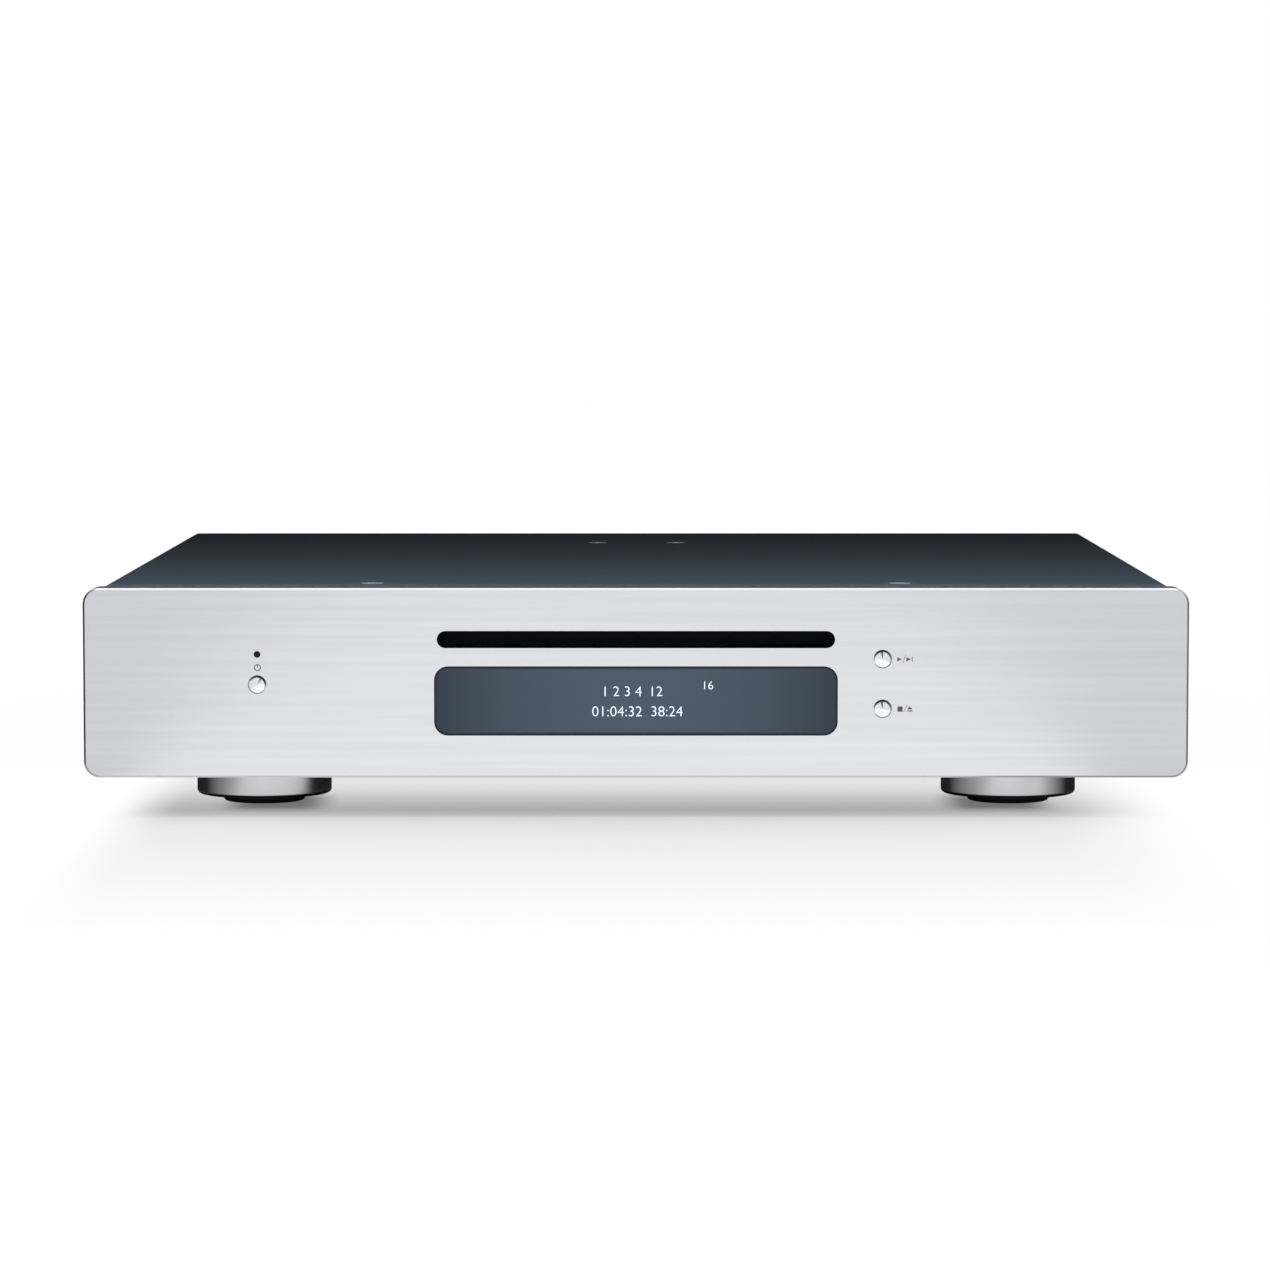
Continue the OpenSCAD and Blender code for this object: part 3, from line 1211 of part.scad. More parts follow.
// Flat ribbon from the display to the main board, as depth and height.
ribbon_path = [
    [panel_t + board_t + 2, window_z - ribbon_drop], [frame_d + 5, window_z - ribbon_drop],
    [frame_d + 11, floor_z + 2.6], [main_d[0] - 10, floor_z + 2.6],
    [main_d[0] - 4, board_z + board_t + 3], [main_d[0] + 3, board_z + board_t + 3]];

// Points of a path, moved sideways by w, with mitred corners.
function beside(path, w) = [for (i = [0 : len(path) - 1])
    let (into = path[i] - path[max(i - 1, 0)], out = path[min(i + 1, len(path) - 1)] - path[i],
        a = atan2(into[1] + (i == 0 ? out[1] : 0), into[0] + (i == 0 ? out[0] : 0)),
        b = i == len(path) - 1 ? a : atan2(out[1], out[0]), mid = (a + b) / 2)
    path[i] + w / cos((b - a) / 2) * [-sin(mid), cos(mid)]];

module display_ribbon() color("white") across(about(ribbon_x, ribbon_w / 2)) {
    lower = beside(ribbon_path, -ribbon_t / 2);
    upper = beside(ribbon_path, ribbon_t / 2);
    polygon(concat(lower, [for (i = [len(upper) - 1 : -1 : 0]) upper[i]]));
}

front_panel();
display_window();
display_module();
button_boards();
tact_switches();
status_lens();
front_frame();
panel_spacers();
chassis_base();
rear_panel();
top_cover();
cover_bracket();
feet();
foot_pads();
key_cap(keys[0]);  // standby_button
key_cap(keys[1]);  // play_button
key_cap(keys[2]);  // stop_button
key_plunger(keys[0]);  // standby_plunger
key_plunger(keys[1]);  // play_plunger
key_plunger(keys[2]);  // stop_plunger
loader_frame();
disc_tray();
tray_front();
drive_gear();
pulley_gear();
motor_pulley();
loading_belt();
loading_motor();
cam_slider();
traverse_cradle();
traverse_plate();
traverse_grommets();
traverse_screws();
spindle_motor();
turntable();
pickup_sled();
objective_lens();
guide_rods();
sled_gear();
sled_motor();
motor_pinion();
clamp_bridge();
clamp_puck();
main_board();
power_board();
power_transformer();
capacitors();
mains_inlet();
inlet_pins();
rocker_housing();
power_rocker();
coax_socket();
optical_socket();
trigger_sockets();
standoffs();
display_ribbon();
wiring();
machine_screws();
cover_screws();
foot_screws();
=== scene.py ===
# Looks of the slim disc player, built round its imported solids.
# Metres, +Z up, the front faces -Y, the floor is z = 0.
import json
import math

import bmesh
import bpy
import numpy as np
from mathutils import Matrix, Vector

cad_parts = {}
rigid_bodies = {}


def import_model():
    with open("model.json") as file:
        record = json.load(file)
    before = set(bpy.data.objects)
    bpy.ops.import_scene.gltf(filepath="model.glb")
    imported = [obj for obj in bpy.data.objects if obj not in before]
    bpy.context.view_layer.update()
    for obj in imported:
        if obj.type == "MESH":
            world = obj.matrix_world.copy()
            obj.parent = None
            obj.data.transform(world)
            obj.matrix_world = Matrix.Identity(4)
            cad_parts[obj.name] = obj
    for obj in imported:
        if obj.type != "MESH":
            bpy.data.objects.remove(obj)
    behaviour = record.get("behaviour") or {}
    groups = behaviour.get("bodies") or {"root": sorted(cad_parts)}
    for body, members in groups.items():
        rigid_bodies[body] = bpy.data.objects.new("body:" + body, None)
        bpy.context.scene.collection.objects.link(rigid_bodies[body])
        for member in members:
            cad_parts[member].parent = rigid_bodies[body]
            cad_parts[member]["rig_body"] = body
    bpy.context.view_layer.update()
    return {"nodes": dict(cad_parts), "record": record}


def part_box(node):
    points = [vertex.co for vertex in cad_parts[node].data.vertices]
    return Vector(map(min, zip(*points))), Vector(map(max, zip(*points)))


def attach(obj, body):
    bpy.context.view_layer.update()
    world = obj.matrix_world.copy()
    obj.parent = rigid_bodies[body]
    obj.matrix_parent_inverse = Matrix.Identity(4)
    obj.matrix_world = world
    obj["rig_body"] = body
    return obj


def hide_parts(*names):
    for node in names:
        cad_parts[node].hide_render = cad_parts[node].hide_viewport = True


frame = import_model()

mm = 0.001
print("stage: frame loaded,", len(frame["nodes"]), "solid nodes")


class Signal:
    # Wraps a node's output, so that arithmetic on it adds Math nodes.
    def __init__(self, tree, socket):
        self.tree, self.socket = tree, socket

    def maths(self, operation, first, second=0.0):
        settings = {"operation": operation}
        return addNode(self.tree, "ShaderNodeMath", settings, {0: first, 1: second})

    def __add__(self, other): return self.maths("ADD", self, other)
    def __radd__(self, other): return self.maths("ADD", other, self)
    def __sub__(self, other): return self.maths("SUBTRACT", self, other)
    def __rsub__(self, other): return self.maths("SUBTRACT", other, self)
    def __mul__(self, other): return self.maths("MULTIPLY", self, other)
    def __truediv__(self, other): return self.maths("DIVIDE", self, other)
    def __pow__(self, other): return self.maths("POWER", self, other)
    def __abs__(self): return self.maths("ABSOLUTE", self)

    def atLeast(self, other): return self.maths("MAXIMUM", self, other)


def addNode(tree, kind, settings=None, sockets=None, output=0):
    # Any node: its settings first, then values or links for its sockets.
    node = tree.nodes.new(kind)
    for name, value in (settings or {}).items():
        if name == "stops":
            ramp = node.color_ramp.elements
            for index, (place, shade) in enumerate(value):
                stop = ramp[index] if index < 2 else ramp.new(place)
                stop.position, stop.color = place, (shade, shade, shade, 1)
        else:
            setattr(node, name, value)
    for key, value in (sockets or {}).items():
        if isinstance(value, Signal):
            tree.links.new(value.socket, node.inputs[key])
        else:
            node.inputs[key].default_value = value
    return Signal(tree, node.outputs[output]) if node.outputs else None


def colour(shade):
    # The shade with full opacity.
    return (*shade, 1)


def mixColour(tree, amount, first, second):
    # The first colour where amount is 0, the second where it is 1.
    sockets = {0: amount, 6: first, 7: second}
    return addNode(tree, "ShaderNodeMix", {"data_type": "RGBA"}, sockets, 2)


def ease(tree, value, low, high, start, end):
    # Runs smoothly from start to end while value goes from low to high, and is level outside.
    return addNode(tree, "ShaderNodeMapRange", {"interpolation_type": "SMOOTHSTEP"},
                   {0: value, 1: low, 2: high, 3: start, 4: end})


def axes(tree, which):
    # The chosen parts of the place on the surface, in metres.
    place = addNode(tree, "ShaderNodeTexCoord", output=3)
    return [addNode(tree, "ShaderNodeSeparateXYZ", {}, {0: place}, axis) for axis in which]


# Details of the noise: for relief, for clouds, and for the streaks of the brushed face
fine, soft, streaky = 3, 2, 4


def noise(tree, place, stretch, detail):
    # Noise whose grains measure 1 / stretch metres along each axis.
    sockets = {"Vector": place, "Scale": stretch}
    spread = addNode(tree, "ShaderNodeMapping", {"vector_type": "POINT"}, sockets)
    sockets = {"Vector": spread, "Scale": 1.0, "Detail": detail}
    return addNode(tree, "ShaderNodeTexNoise", {}, sockets)


def relief(tree, place, look):
    # The height of a surface: noise in the look's own grain.
    return noise(tree, place, look["stretch"], fine)


def clouds(tree, place, look):
    # Soft noise, the same along each axis.
    return noise(tree, place, (look["cloud"],) * 3, soft)


# Each pattern returns a height from 0 to 1 and a mask from 0 to 1 for the lighter colour.
def grain(tree, place, look):
    # Even grain and soft clouds.
    return relief(tree, place, look), clouds(tree, place, look)


def spangle(tree, place, look):
    # Zinc crystals: flat cells, each with a shade of its own.
    sockets = {"Vector": place, "Scale": look["cloud"], "Randomness": 1.0}
    cells = addNode(tree, "ShaderNodeTexVoronoi", {}, sockets, 1)
    shade = addNode(tree, "ShaderNodeSeparateColor", {}, {0: cells})
    return relief(tree, place, look), shade


# Circuit tracks: how much finer the second layer is, the bricks, their shift and the tracks' relief
layout = {"finer": 2.7, "shift": 0.37, "share": 0.6,
          "bricks": {"Mortar Size": 0.035, "Mortar Smooth": 0.1, "Brick Width": 0.9,
                     "Row Height": 0.22}}


def tracks(tree, place, look):
    # Circuit tracks: two sizes of brick joints laid over each other.
    lines = []
    for scale in (look["cloud"], look["cloud"] * layout["finer"]):
        bricks = {"Vector": place, "Scale": scale, **layout["bricks"]}
        lines.append(addNode(tree, "ShaderNodeTexBrick", {"offset": layout["shift"]}, bricks, 1))
    joined, share = lines[0].atLeast(lines[1]), layout["share"]
    return joined * share + noise(tree, place, look["stretch"], soft) * (1 - share), joined


def weave(tree, place, look):
    # Cloth tape: the mean of two crossed waves.
    sockets = {"Vector": place, "Scale": look["cloud"], "Distortion": look["distortion"]}
    waves = [addNode(tree, "ShaderNodeTexWave", {"bands_direction": way}, sockets, 1)
             for way in ("X", "Z")]
    height = waves[0] * 0.5 + waves[1] * 0.5
    return height, height


def fromOutline(across, rise, shape):
    # Distance outside a rounded rectangle: the length of what lies past its straight sides, less
    # the corner's radius. It is below zero inside.
    outX = (across - (shape["halfX"] - shape["corner"])).atLeast(0.0)
    outZ = (rise - (shape["halfZ"] - shape["corner"])).atLeast(0.0)
    return (outX * outX + outZ * outZ) ** 0.5 - shape["corner"]


def glassTint(tree, place, look):
    # Painted light: lightest in the middle of the display as a painted highlight, darker towards
    # its ends as a power of the distance, and a painted shadow of the gap round the glass in a thin
    # dark line where the distance from a rounded rectangle round the display nears zero.
    x, z = axes(tree, (0, 2))
    glass = look["glass"]
    outside = fromOutline(abs(x), abs(z - glass["middle"]), glass)
    # Painted shadow of the gap round the glass.
    rim = ease(tree, outside, -glass["line"], -glass["line"] / 2, 0.0, 1.0)
    # Painted highlight: darker towards the ends, lightest in the middle.
    ends = (abs(x) / glass["halfX"]) ** glass["power"] * glass["ends"]
    return relief(tree, place, look), 1 - ends.atLeast(rim)


def paintedSheet(tree, place, look):
    # Painted sheet. Its front upper edge is lighter: a painted highlight where the edge catches
    # light.
    y, z = axes(tree, (1, 2))
    edge = look["edge"]
    # A painted highlight along the front upper edge.
    edgeHighlight = ease(tree, y, *edge["y"], 1.0, 0.0) * ease(tree, z, *edge["z"], 0.0, 1.0)
    cloud = clouds(tree, place, look) * look["cloudShare"]
    return relief(tree, place, look), edgeHighlight + (1 - edgeHighlight) * cloud


def brushed(tree, place, look):
    # Brushed face with long faint streaks. Painted shade: the walls of its openings are dark, from
    # just behind the face, and so is a hair line round its front edge. The hair line fades towards
    # the top and is strongest at the ends of the panel and along the right of its lower edge.
    x, y, z = axes(tree, (0, 1, 2))
    bores = look["bores"]
    inside = ease(tree, abs(x), *bores["x"], 1.0, 0.0)
    inside = inside * ease(tree, abs(z - bores["middle"]), *bores["z"], 1.0, 0.0)
    streaks = noise(tree, place, look["streaks"], streaky) * look["streakShare"]
    # Painted shade in the walls of the openings.
    shown = 1 - inside * ease(tree, y, *bores["y"], 0.0, 1.0)
    line = look["line"]
    outside = fromOutline(abs(x), abs(z - bores["middle"]), line)
    # A painted shade line round the front edge.
    rim = ease(tree, outside, *line["width"], 0.0, 1.0) * ease(tree, z, *line["top"], 1.0, 0.0)
    right = ease(tree, x, *line["right"], 0.0, line["rightShare"])
    share = ease(tree, abs(x), *line["x"], *line["share"]).atLeast(right)
    rim = rim * ease(tree, y, *line["y"], 1.0, 0.0) * share
    return relief(tree, place, look), shown * (1 - rim) * (1 - streaks)


def turned(tree, place, look):
    # Turned metal with a painted shadow: black along its lower rim.
    z, = axes(tree, (2,))
    side = ease(tree, z, *look["rim"], 0.0, 1.0)
    cloud = clouds(tree, place, look) * look["cloudShare"]
    return relief(tree, place, look), side * (1 - cloud)


def keyTint(tree, place, look):
    # Painted shade: each cap is dark in a ring near its rim, where the gap round the key is in
    # shadow. The ring fades towards the lower left: its strength is the distance along the ring's
    # lean, eased.
    x, z = axes(tree, (0, 2))
    ring, shade = look["ring"], 0.0
    for middleX, middleZ in ring["middles"]:
        across, rise = x - middleX, z - middleZ
        reach = (across * across + rise * rise) ** 0.5
        along = across * ring["lean"][0] + rise * ring["lean"][1]
        band = ease(tree, reach, *ring["rim"], 0.0, 1.0) * ease(tree, reach, *ring["end"], 1.0, 0.0)
        shade = shade + band * ease(tree, along, *ring["fade"], 0.0, 1.0)
    return relief(tree, place, look), 1 - shade


patterns = {pattern.__name__: pattern for pattern in (
    grain, spangle, tracks, weave, glassTint, paintedSheet, brushed, turned, keyTint)}


def middleOf(node):
    # The middle of a solid's box in x and z, in metres.
    low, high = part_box(node)
    return (low[0] + high[0]) / 2, (low[2] + high[2]) / 2


keys = ("standby", "play", "stop")
keyMiddles = [middleOf(key + "_button") for key in keys]
(_, coverFront, _), (_, _, coverTop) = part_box("top_cover")
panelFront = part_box("front_panel")[0][1]

# How the mask turns into the share of the lighter colour: steeper round its middle, or as it is
steep, plain = [(0.35, 0.0), (0.65, 1.0)], [(0.0, 0.0), (1.0, 1.0)]

# Finishes: two colours, roughness and its spread, relief in metres, grains and clouds per metre
finishes = {
    # The panel's dark colour is painted shade: in the walls of its openings and in a hair line
    # round its front edge.
    "brushed_panel": {
        "pattern": "brushed", "light": (0.652, 0.655, 0.685), "dark": (0.10, 0.10, 0.11),
        "metallic": 1.0, "stops": plain, "roughness": 0.2, "spread": 0.05, "relief": 5e-6,
        "stretch": (30, 5200, 5200), "streaks": (9, 420, 420), "streakShare": 0.15,
        "bores": {"x": (0.168, 0.171), "middle": 0.0429, "z": (0.024, 0.027),
                  "y": (-0.1633, -0.1625)},
        "line": {"halfX": 0.175, "halfZ": 0.0301, "corner": 0.0051, "width": (-0.00085, -0.00045),
                 "top": (0.0695, 0.0722), "y": (panelFront + 0.0010, panelFront + 0.0013),
                 "x": (0.168, 0.174), "share": (0.13, 0.72),
                 "right": (0.085, 0.125), "rightShare": 0.6}},
    # The feet's dark colour is a painted shadow along their lower rim.
    "turned_aluminium": {
        "pattern": "turned", "light": (0.60, 0.60, 0.61), "dark": (0.008, 0.008, 0.010),
        "metallic": 1.0, "stops": plain, "roughness": 0.26, "spread": 0.1, "relief": 3e-6,
        "stretch": (60, 60, 9000), "cloud": 40, "cloudShare": 0.1, "rim": (0.0033, 0.0037)},
    # The caps' dark colour is painted shade in a ring near each rim.
    "key_face": {
        "pattern": "keyTint", "light": (0.73, 0.74, 0.76), "dark": (0.065, 0.07, 0.075),
        "metallic": 1.0, "stops": plain, "roughness": 0.12, "spread": 0.06, "relief": 1e-6,
        "stretch": (5000, 5000, 5000),
        "ring": {"middles": keyMiddles, "lean": (0.2, 0.98), "fade": (-0.0004, 0.0018),
                 "rim": (0.00214, 0.00238), "end": (0.0031, 0.0033)}},
    # The cover's lighter colour is mostly a painted highlight on its front upper edge, with a faint
    # share in its clouds.
    "cover_paint": {
        "pattern": "paintedSheet", "light": (0.20, 0.21, 0.23), "dark": (0.0045, 0.0098, 0.0152),
        "stops": plain, "roughness": 0.32, "specular": 0.25, "gloss": (0.8, 0.97, 1.0),
        "spread": 0.08, "relief": 1e-5, "stretch": (1800, 1800, 1800), "cloud": 35,
        "cloudShare": 0.012, "edge": {"y": (coverFront + 0.0003, coverFront + 0.0006),
                                      "z": (coverTop - 0.0003, coverTop - 0.00015)}},
    "chassis_steel": {
        "pattern": "spangle", "light": (0.50, 0.52, 0.54), "dark": (0.40, 0.42, 0.45),
        "metallic": 1.0, "roughness": 0.38, "spread": 0.12, "relief": 4e-6,
        "stretch": (900, 900, 900), "cloud": 130},
    "motor_steel": {
        "light": (0.60, 0.60, 0.60), "dark": (0.50, 0.51, 0.52), "metallic": 1.0, "roughness": 0.3,
        "spread": 0.12, "relief": 3e-6, "stretch": (3000, 200, 3000), "cloud": 60},
    "screw_steel": {
        "light": (0.62, 0.62, 0.62), "dark": (0.50, 0.50, 0.52), "metallic": 1.0, "roughness": 0.3,
        "spread": 0.1, "relief": 2e-6, "stretch": (4000, 4000, 4000), "cloud": 400},
    "cover_screw_black": {
        "light": (0.36, 0.38, 0.40), "dark": (0.26, 0.28, 0.30), "metallic": 1.0, "roughness": 0.45,
        "spread": 0.12, "relief": 2e-6, "stretch": (4000, 4000, 4000), "cloud": 400},
    # The display glass's lighter middle and darker ends are a painted highlight, and its thin dark
    # rim line is a painted shadow of the gap round the glass.
    "display_glass": {
        "pattern": "glassTint", "light": (0.053, 0.083, 0.124), "dark": (0.003, 0.013, 0.029),
        "stops": plain, "roughness": 0.2, "specular": 0.25, "coat": 0.1, "spread": 0.03,
        "relief": 3e-7, "stretch": (900, 900, 900),
        "glass": {"middle": 0.0372, "halfX": 0.0639, "halfZ": 0.0110, "corner": 0.0044,
                  "line": 0.0012, "power": 2.3, "ends": 0.80}},
    "display_figures": {
        "light": (0.70, 0.80, 0.92), "dark": (0.62, 0.74, 0.88), "roughness": 0.4, "glow": 0.48,
        "spread": 0.1, "relief": 1e-6, "stretch": (3000, 3000, 3000), "cloud": 500},
    "key_print": {
        "light": (0.115, 0.115, 0.125), "dark": (0.09, 0.09, 0.10), "roughness": 0.6,
        "specular": 0.3, "spread": 0.1, "relief": 2e-6, "stretch": (6000, 6000, 6000),
        "cloud": 900},
    "light_lens": {
        "light": (0.007, 0.007, 0.010), "dark": (0.005, 0.005, 0.007), "roughness": 0.2,
        "specular": 0.1, "coat": 0.1, "spread": 0.03, "relief": 5e-7, "stretch": (2500, 2500, 2500),
        "cloud": 400},
    "lens_glass": {
        "light": (0.10, 0.08, 0.30), "dark": (0.04, 0.05, 0.18), "roughness": 0.05, "coat": 1.0,
        "spread": 0.02, "relief": 3e-7, "stretch": (2500, 2500, 2500), "cloud": 500},
    "board_green": {
        "pattern": "tracks", "light": (0.06, 0.22, 0.10), "dark": (0.018, 0.085, 0.042),
        "roughness": 0.32, "coat": 0.3, "spread": 0.1, "relief": 3e-5,
        "stretch": (2500, 2500, 2500), "cloud": 45},
    "board_tan": {
        "pattern": "tracks", "light": (0.48, 0.34, 0.14), "dark": (0.34, 0.23, 0.09),
        "roughness": 0.5, "spread": 0.1, "relief": 3e-5, "stretch": (1500, 1500, 1500),
        "cloud": 30},
    "black_plastic": {
        "light": (0.024, 0.025, 0.028), "dark": (0.016, 0.017, 0.019), "roughness": 0.5,
        "spread": 0.12, "relief": 1.5e-5, "stretch": (1600, 1600, 1600), "cloud": 50},
    "tray_plastic": {
        "light": (0.022, 0.024, 0.028), "dark": (0.015, 0.017, 0.020), "roughness": 0.46,
        "spread": 0.1, "relief": 1.8e-5, "stretch": (2200, 2200, 2200), "cloud": 40},
    "tray_gloss": {
        "light": (0.0026, 0.0040, 0.0080), "dark": (0.0020, 0.0032, 0.0065), "roughness": 0.3,
        "specular": 0.03, "spread": 0.04, "relief": 1e-6, "stretch": (700, 700, 700), "cloud": 30},
    "gear_plastic": {
        "light": (0.78, 0.75, 0.66), "dark": (0.70, 0.67, 0.58), "roughness": 0.42, "spread": 0.1,
        "relief": 5e-6, "stretch": (2500, 2500, 2500), "cloud": 120},
    "sled_grey": {
        "light": (0.20, 0.21, 0.23), "dark": (0.14, 0.15, 0.165), "metallic": 0.3,
        "roughness": 0.45, "spread": 0.15, "relief": 1.5e-5, "stretch": (1300, 1300, 1300),
        "cloud": 90},
    "rubber": {
        "light": (0.013, 0.013, 0.015), "dark": (0.007, 0.007, 0.008), "roughness": 0.75,
        "specular": 0.3, "spread": 0.1, "relief": 1.5e-5, "stretch": (2500, 2500, 2500),
        "cloud": 90},
    "transformer_tape": {
        "pattern": "weave", "light": (0.78, 0.56, 0.10), "dark": (0.55, 0.36, 0.05),
        "roughness": 0.5, "spread": 0.1, "relief": 2e-5, "stretch": (1500, 1500, 1500),
        "cloud": 900, "distortion": 0.4},
    "capacitor_sleeve": {
        "light": (0.035, 0.05, 0.10), "dark": (0.02, 0.03, 0.07), "roughness": 0.25, "coat": 0.4,
        "spread": 0.06, "relief": 4e-6, "stretch": (500, 500, 3000), "cloud": 70},
    "gold_plate": {
        "light": (0.85, 0.60, 0.22), "dark": (0.74, 0.49, 0.16), "metallic": 1.0, "roughness": 0.2,
        "spread": 0.08, "relief": 2e-6, "stretch": (400, 6000, 400), "cloud": 200},
    "brass": {
        "light": (0.72, 0.53, 0.22), "dark": (0.58, 0.41, 0.16), "metallic": 1.0, "roughness": 0.3,
        "spread": 0.1, "relief": 2e-6, "stretch": (400, 400, 6000), "cloud": 200},
    "ribbon_white": {
        "light": (0.76, 0.76, 0.73), "dark": (0.50, 0.50, 0.48), "roughness": 0.45, "spread": 0.08,
        "relief": 2e-5, "stretch": (2400, 20, 20), "cloud": 60},
    "wire_brown": {
        "light": (0.26, 0.13, 0.07), "dark": (0.17, 0.08, 0.04), "roughness": 0.4, "spread": 0.1,
        "relief": 5e-6, "stretch": (900, 900, 900), "cloud": 150},
}


coatRoughness = 0.06


def newTree(owner):
    # The empty node tree of a material or a world.
    owner.use_nodes = True
    owner.node_tree.nodes.clear()
    return owner.node_tree


def makeFinish(name, look):
    # One shader: the colours mixed by the pattern's mask, roughness and bump by its height.
    material = bpy.data.materials.new(name)
    tree = newTree(material)
    place = addNode(tree, "ShaderNodeTexCoord", output=3)
    height, mask = patterns[look.get("pattern", "grain")](tree, place, look)
    lighter = addNode(tree, "ShaderNodeValToRGB", {"stops": look.get("stops", steep)}, {0: mask})
    bump = {"Distance": look["relief"], "Height": height}
    sockets = {
        "Base Color": mixColour(tree, lighter, colour(look["dark"]), colour(look["light"])),
        "Roughness": (height - 0.5) * look["spread"] + look["roughness"],
        "Metallic": look.get("metallic", 0.0),
        "Specular IOR Level": look.get("specular", 0.5),
        "Specular Tint": colour(look.get("gloss", (1, 1, 1))),
        "Coat Weight": look.get("coat", 0.0),
        "Coat Roughness": coatRoughness,
        "Normal": addNode(tree, "ShaderNodeBump", {}, bump),
    }
    if "glow" in look:
        sockets["Emission Color"] = colour(look["light"])
        sockets["Emission Strength"] = look["glow"]
    shader = addNode(tree, "ShaderNodeBsdfPrincipled", {}, sockets)
    addNode(tree, "ShaderNodeOutputMaterial", {}, {"Surface": shader})
    return material


materials = {name: makeFinish(name, look) for name, look in finishes.items()}
slots = {row["node"]: row["material_slot"] for row in frame["record"]["subparts"]}
for node, solid in frame["nodes"].items():
    solid.material_slots[0].material = materials[slots[node]]
print("stage: finishes made,", len(materials))


def addPiece(name, mesh, finish, body, replaced=()):
    # Links a finished mesh, and says what it rides on, looks like and stands for.
    mesh.materials.clear()
    mesh.materials.append(materials[finish])
    piece = bpy.data.objects.new(name, mesh)
    bpy.context.scene.collection.objects.link(piece)
    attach(piece, body)
    if replaced:
        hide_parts(*replaced)
    return piece


# Meshes: the distance of doubled points, the angles in degrees, and the steps of an eased edge
meshing = {"doubled": 1e-7, "oneFace": 0.2, "sharp": 30, "eased": 40, "steps": 2, "weight": 100}


def tidyMesh(mesh, flat=0.0):
    # Merges doubled points, joins faces in one plane where flat is given, and turns them outwards.
    shape = bmesh.new()
    shape.from_mesh(mesh)
    bmesh.ops.remove_doubles(shape, verts=shape.verts, dist=meshing["doubled"])
    if flat:
        bmesh.ops.dissolve_limit(shape, angle_limit=flat, verts=shape.verts, edges=shape.edges)
    bmesh.ops.recalc_face_normals(shape, faces=shape.faces)
    shape.to_mesh(mesh)
    shape.free()
    mesh.polygons.foreach_set("use_smooth", np.ones(len(mesh.polygons), dtype=bool))
    mesh.set_sharp_from_angle(angle=math.radians(meshing["sharp"]))


def gridMesh(name, points):
    # A surface of two parameters: points[i, j] joined to its neighbours, closed round the first.
    rows, columns = points.shape[:2]
    index = np.arange(rows * columns).reshape(rows, columns)
    onwards = np.roll(index, -1, axis=0)
    quads = np.stack([index[:, :-1], index[:, 1:], onwards[:, 1:], onwards[:, :-1]], axis=-1)
    quads = quads.reshape(-1, 4)
    mesh = bpy.data.meshes.new(name)
    mesh.vertices.add(rows * columns)
    mesh.vertices.foreach_set("co", points.reshape(-1))
    mesh.loops.add(quads.size)
    mesh.loops.foreach_set("vertex_index", quads.reshape(-1).astype(np.int32))
    mesh.polygons.add(len(quads))
    mesh.polygons.foreach_set("loop_start", np.arange(0, quads.size, 4, dtype=np.int32))
    mesh.update(calc_edges=True)
    tidyMesh(mesh)
    return mesh


def spin(radius, along, middle, turns):
    # Point (i, j) lies radius j away from the line through middle along Y, turned by angle i, and
    # along j towards -Y from middle.
    angle = np.linspace(0, 2 * np.pi, turns, endpoint=False)[:, None]
    return np.stack([middle[0] + radius * np.cos(angle), middle[1] - along + 0 * angle,
                     middle[2] + radius * np.sin(angle)], axis=-1)


def plates(name, outlines, depth, thickness):
    # Flat printed shapes: each outline in x and z becomes a thin closed plate that faces -Y.
    points, faces, first = [], [], 0
    for outline in outlines:
        outline = np.asarray(outline, dtype=float)
        count = len(outline)
        for y in (depth - thickness, depth):
            points.append(np.column_stack([outline[:, 0], np.full(count, y), outline[:, 1]]))
        ring = np.arange(count)
        onwards = (ring + 1) % count
        walls = np.column_stack([ring, onwards, count + onwards, count + ring])
        faces += [(first + ring).tolist(), (first + count + ring[::-1]).tolist()]
        faces += (first + walls).tolist()
        first += 2 * count
    mesh = bpy.data.meshes.new(name)
    mesh.from_pydata(np.concatenate(points).tolist(), [], faces)
    tidyMesh(mesh)
    return mesh


def refine(node, name, width):
    # A copy of a solid whose sharp edges are eased by width. The solid itself stays as it is.
    solid = frame["nodes"][node]
    mesh = solid.data.copy()
    tidyMesh(mesh, math.radians(meshing["oneFace"]))
    piece = addPiece(name, mesh, slots[node], solid["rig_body"], (node,))
    eased = piece.modifiers.new("eased edges", "BEVEL")
    eased.width, eased.segments, eased.limit_method = width, meshing["steps"], "ANGLE"
    eased.angle_limit, eased.use_clamp_overlap = math.radians(meshing["eased"]), True
    flats = piece.modifiers.new("flat faces", "WEIGHTED_NORMAL")
    flats.weight, flats.keep_sharp = meshing["weight"], True


# Eased copies of what shows: name and width in mm
easedEdges = {
    "front_panel": ("frontPanel", 0.16), "top_cover": ("topCover", 0.2),
    "rear_panel": ("rearPanel", 0.15), "chassis_base": ("caseFloor", 0.2),
    "feet": ("turnedFeet", 0.4), "foot_pads": ("rubberPads", 0.4),
    "tray_front": ("trayFront", 0.25), "disc_tray": ("discTray", 0.25),
    "status_lens": ("statusLens", 0.3),
    "display_window": ("displayWindow", 0.1), "power_rocker": ("powerRocker", 0.3),
    "rocker_housing": ("rockerHousing", 0.25), "mains_inlet": ("mainsInlet", 0.3),
    "coax_socket": ("coaxSocket", 0.2), "optical_socket": ("opticalSocket", 0.15),
    "trigger_sockets": ("triggerSockets", 0.15), "cover_screws": ("coverScrews", 0.1),
    "panel_spacers": ("panelSpacers", 0.2),
}
for node, (name, width) in easedEdges.items():
    refine(node, name, width * mm)
print("stage: eased copies made,", len(easedEdges))


# Keys: shallow turned cones with fine rings, in mm
keyCap = {"face": 2.42, "edge": 0.18, "cone": 0.16, "rings": 12, "ripple": 0.004, "steps": 6,
          "rimSteps": 6, "turns": 96, "seat": 5.2, "flange": 3.9, "back": 6.2}


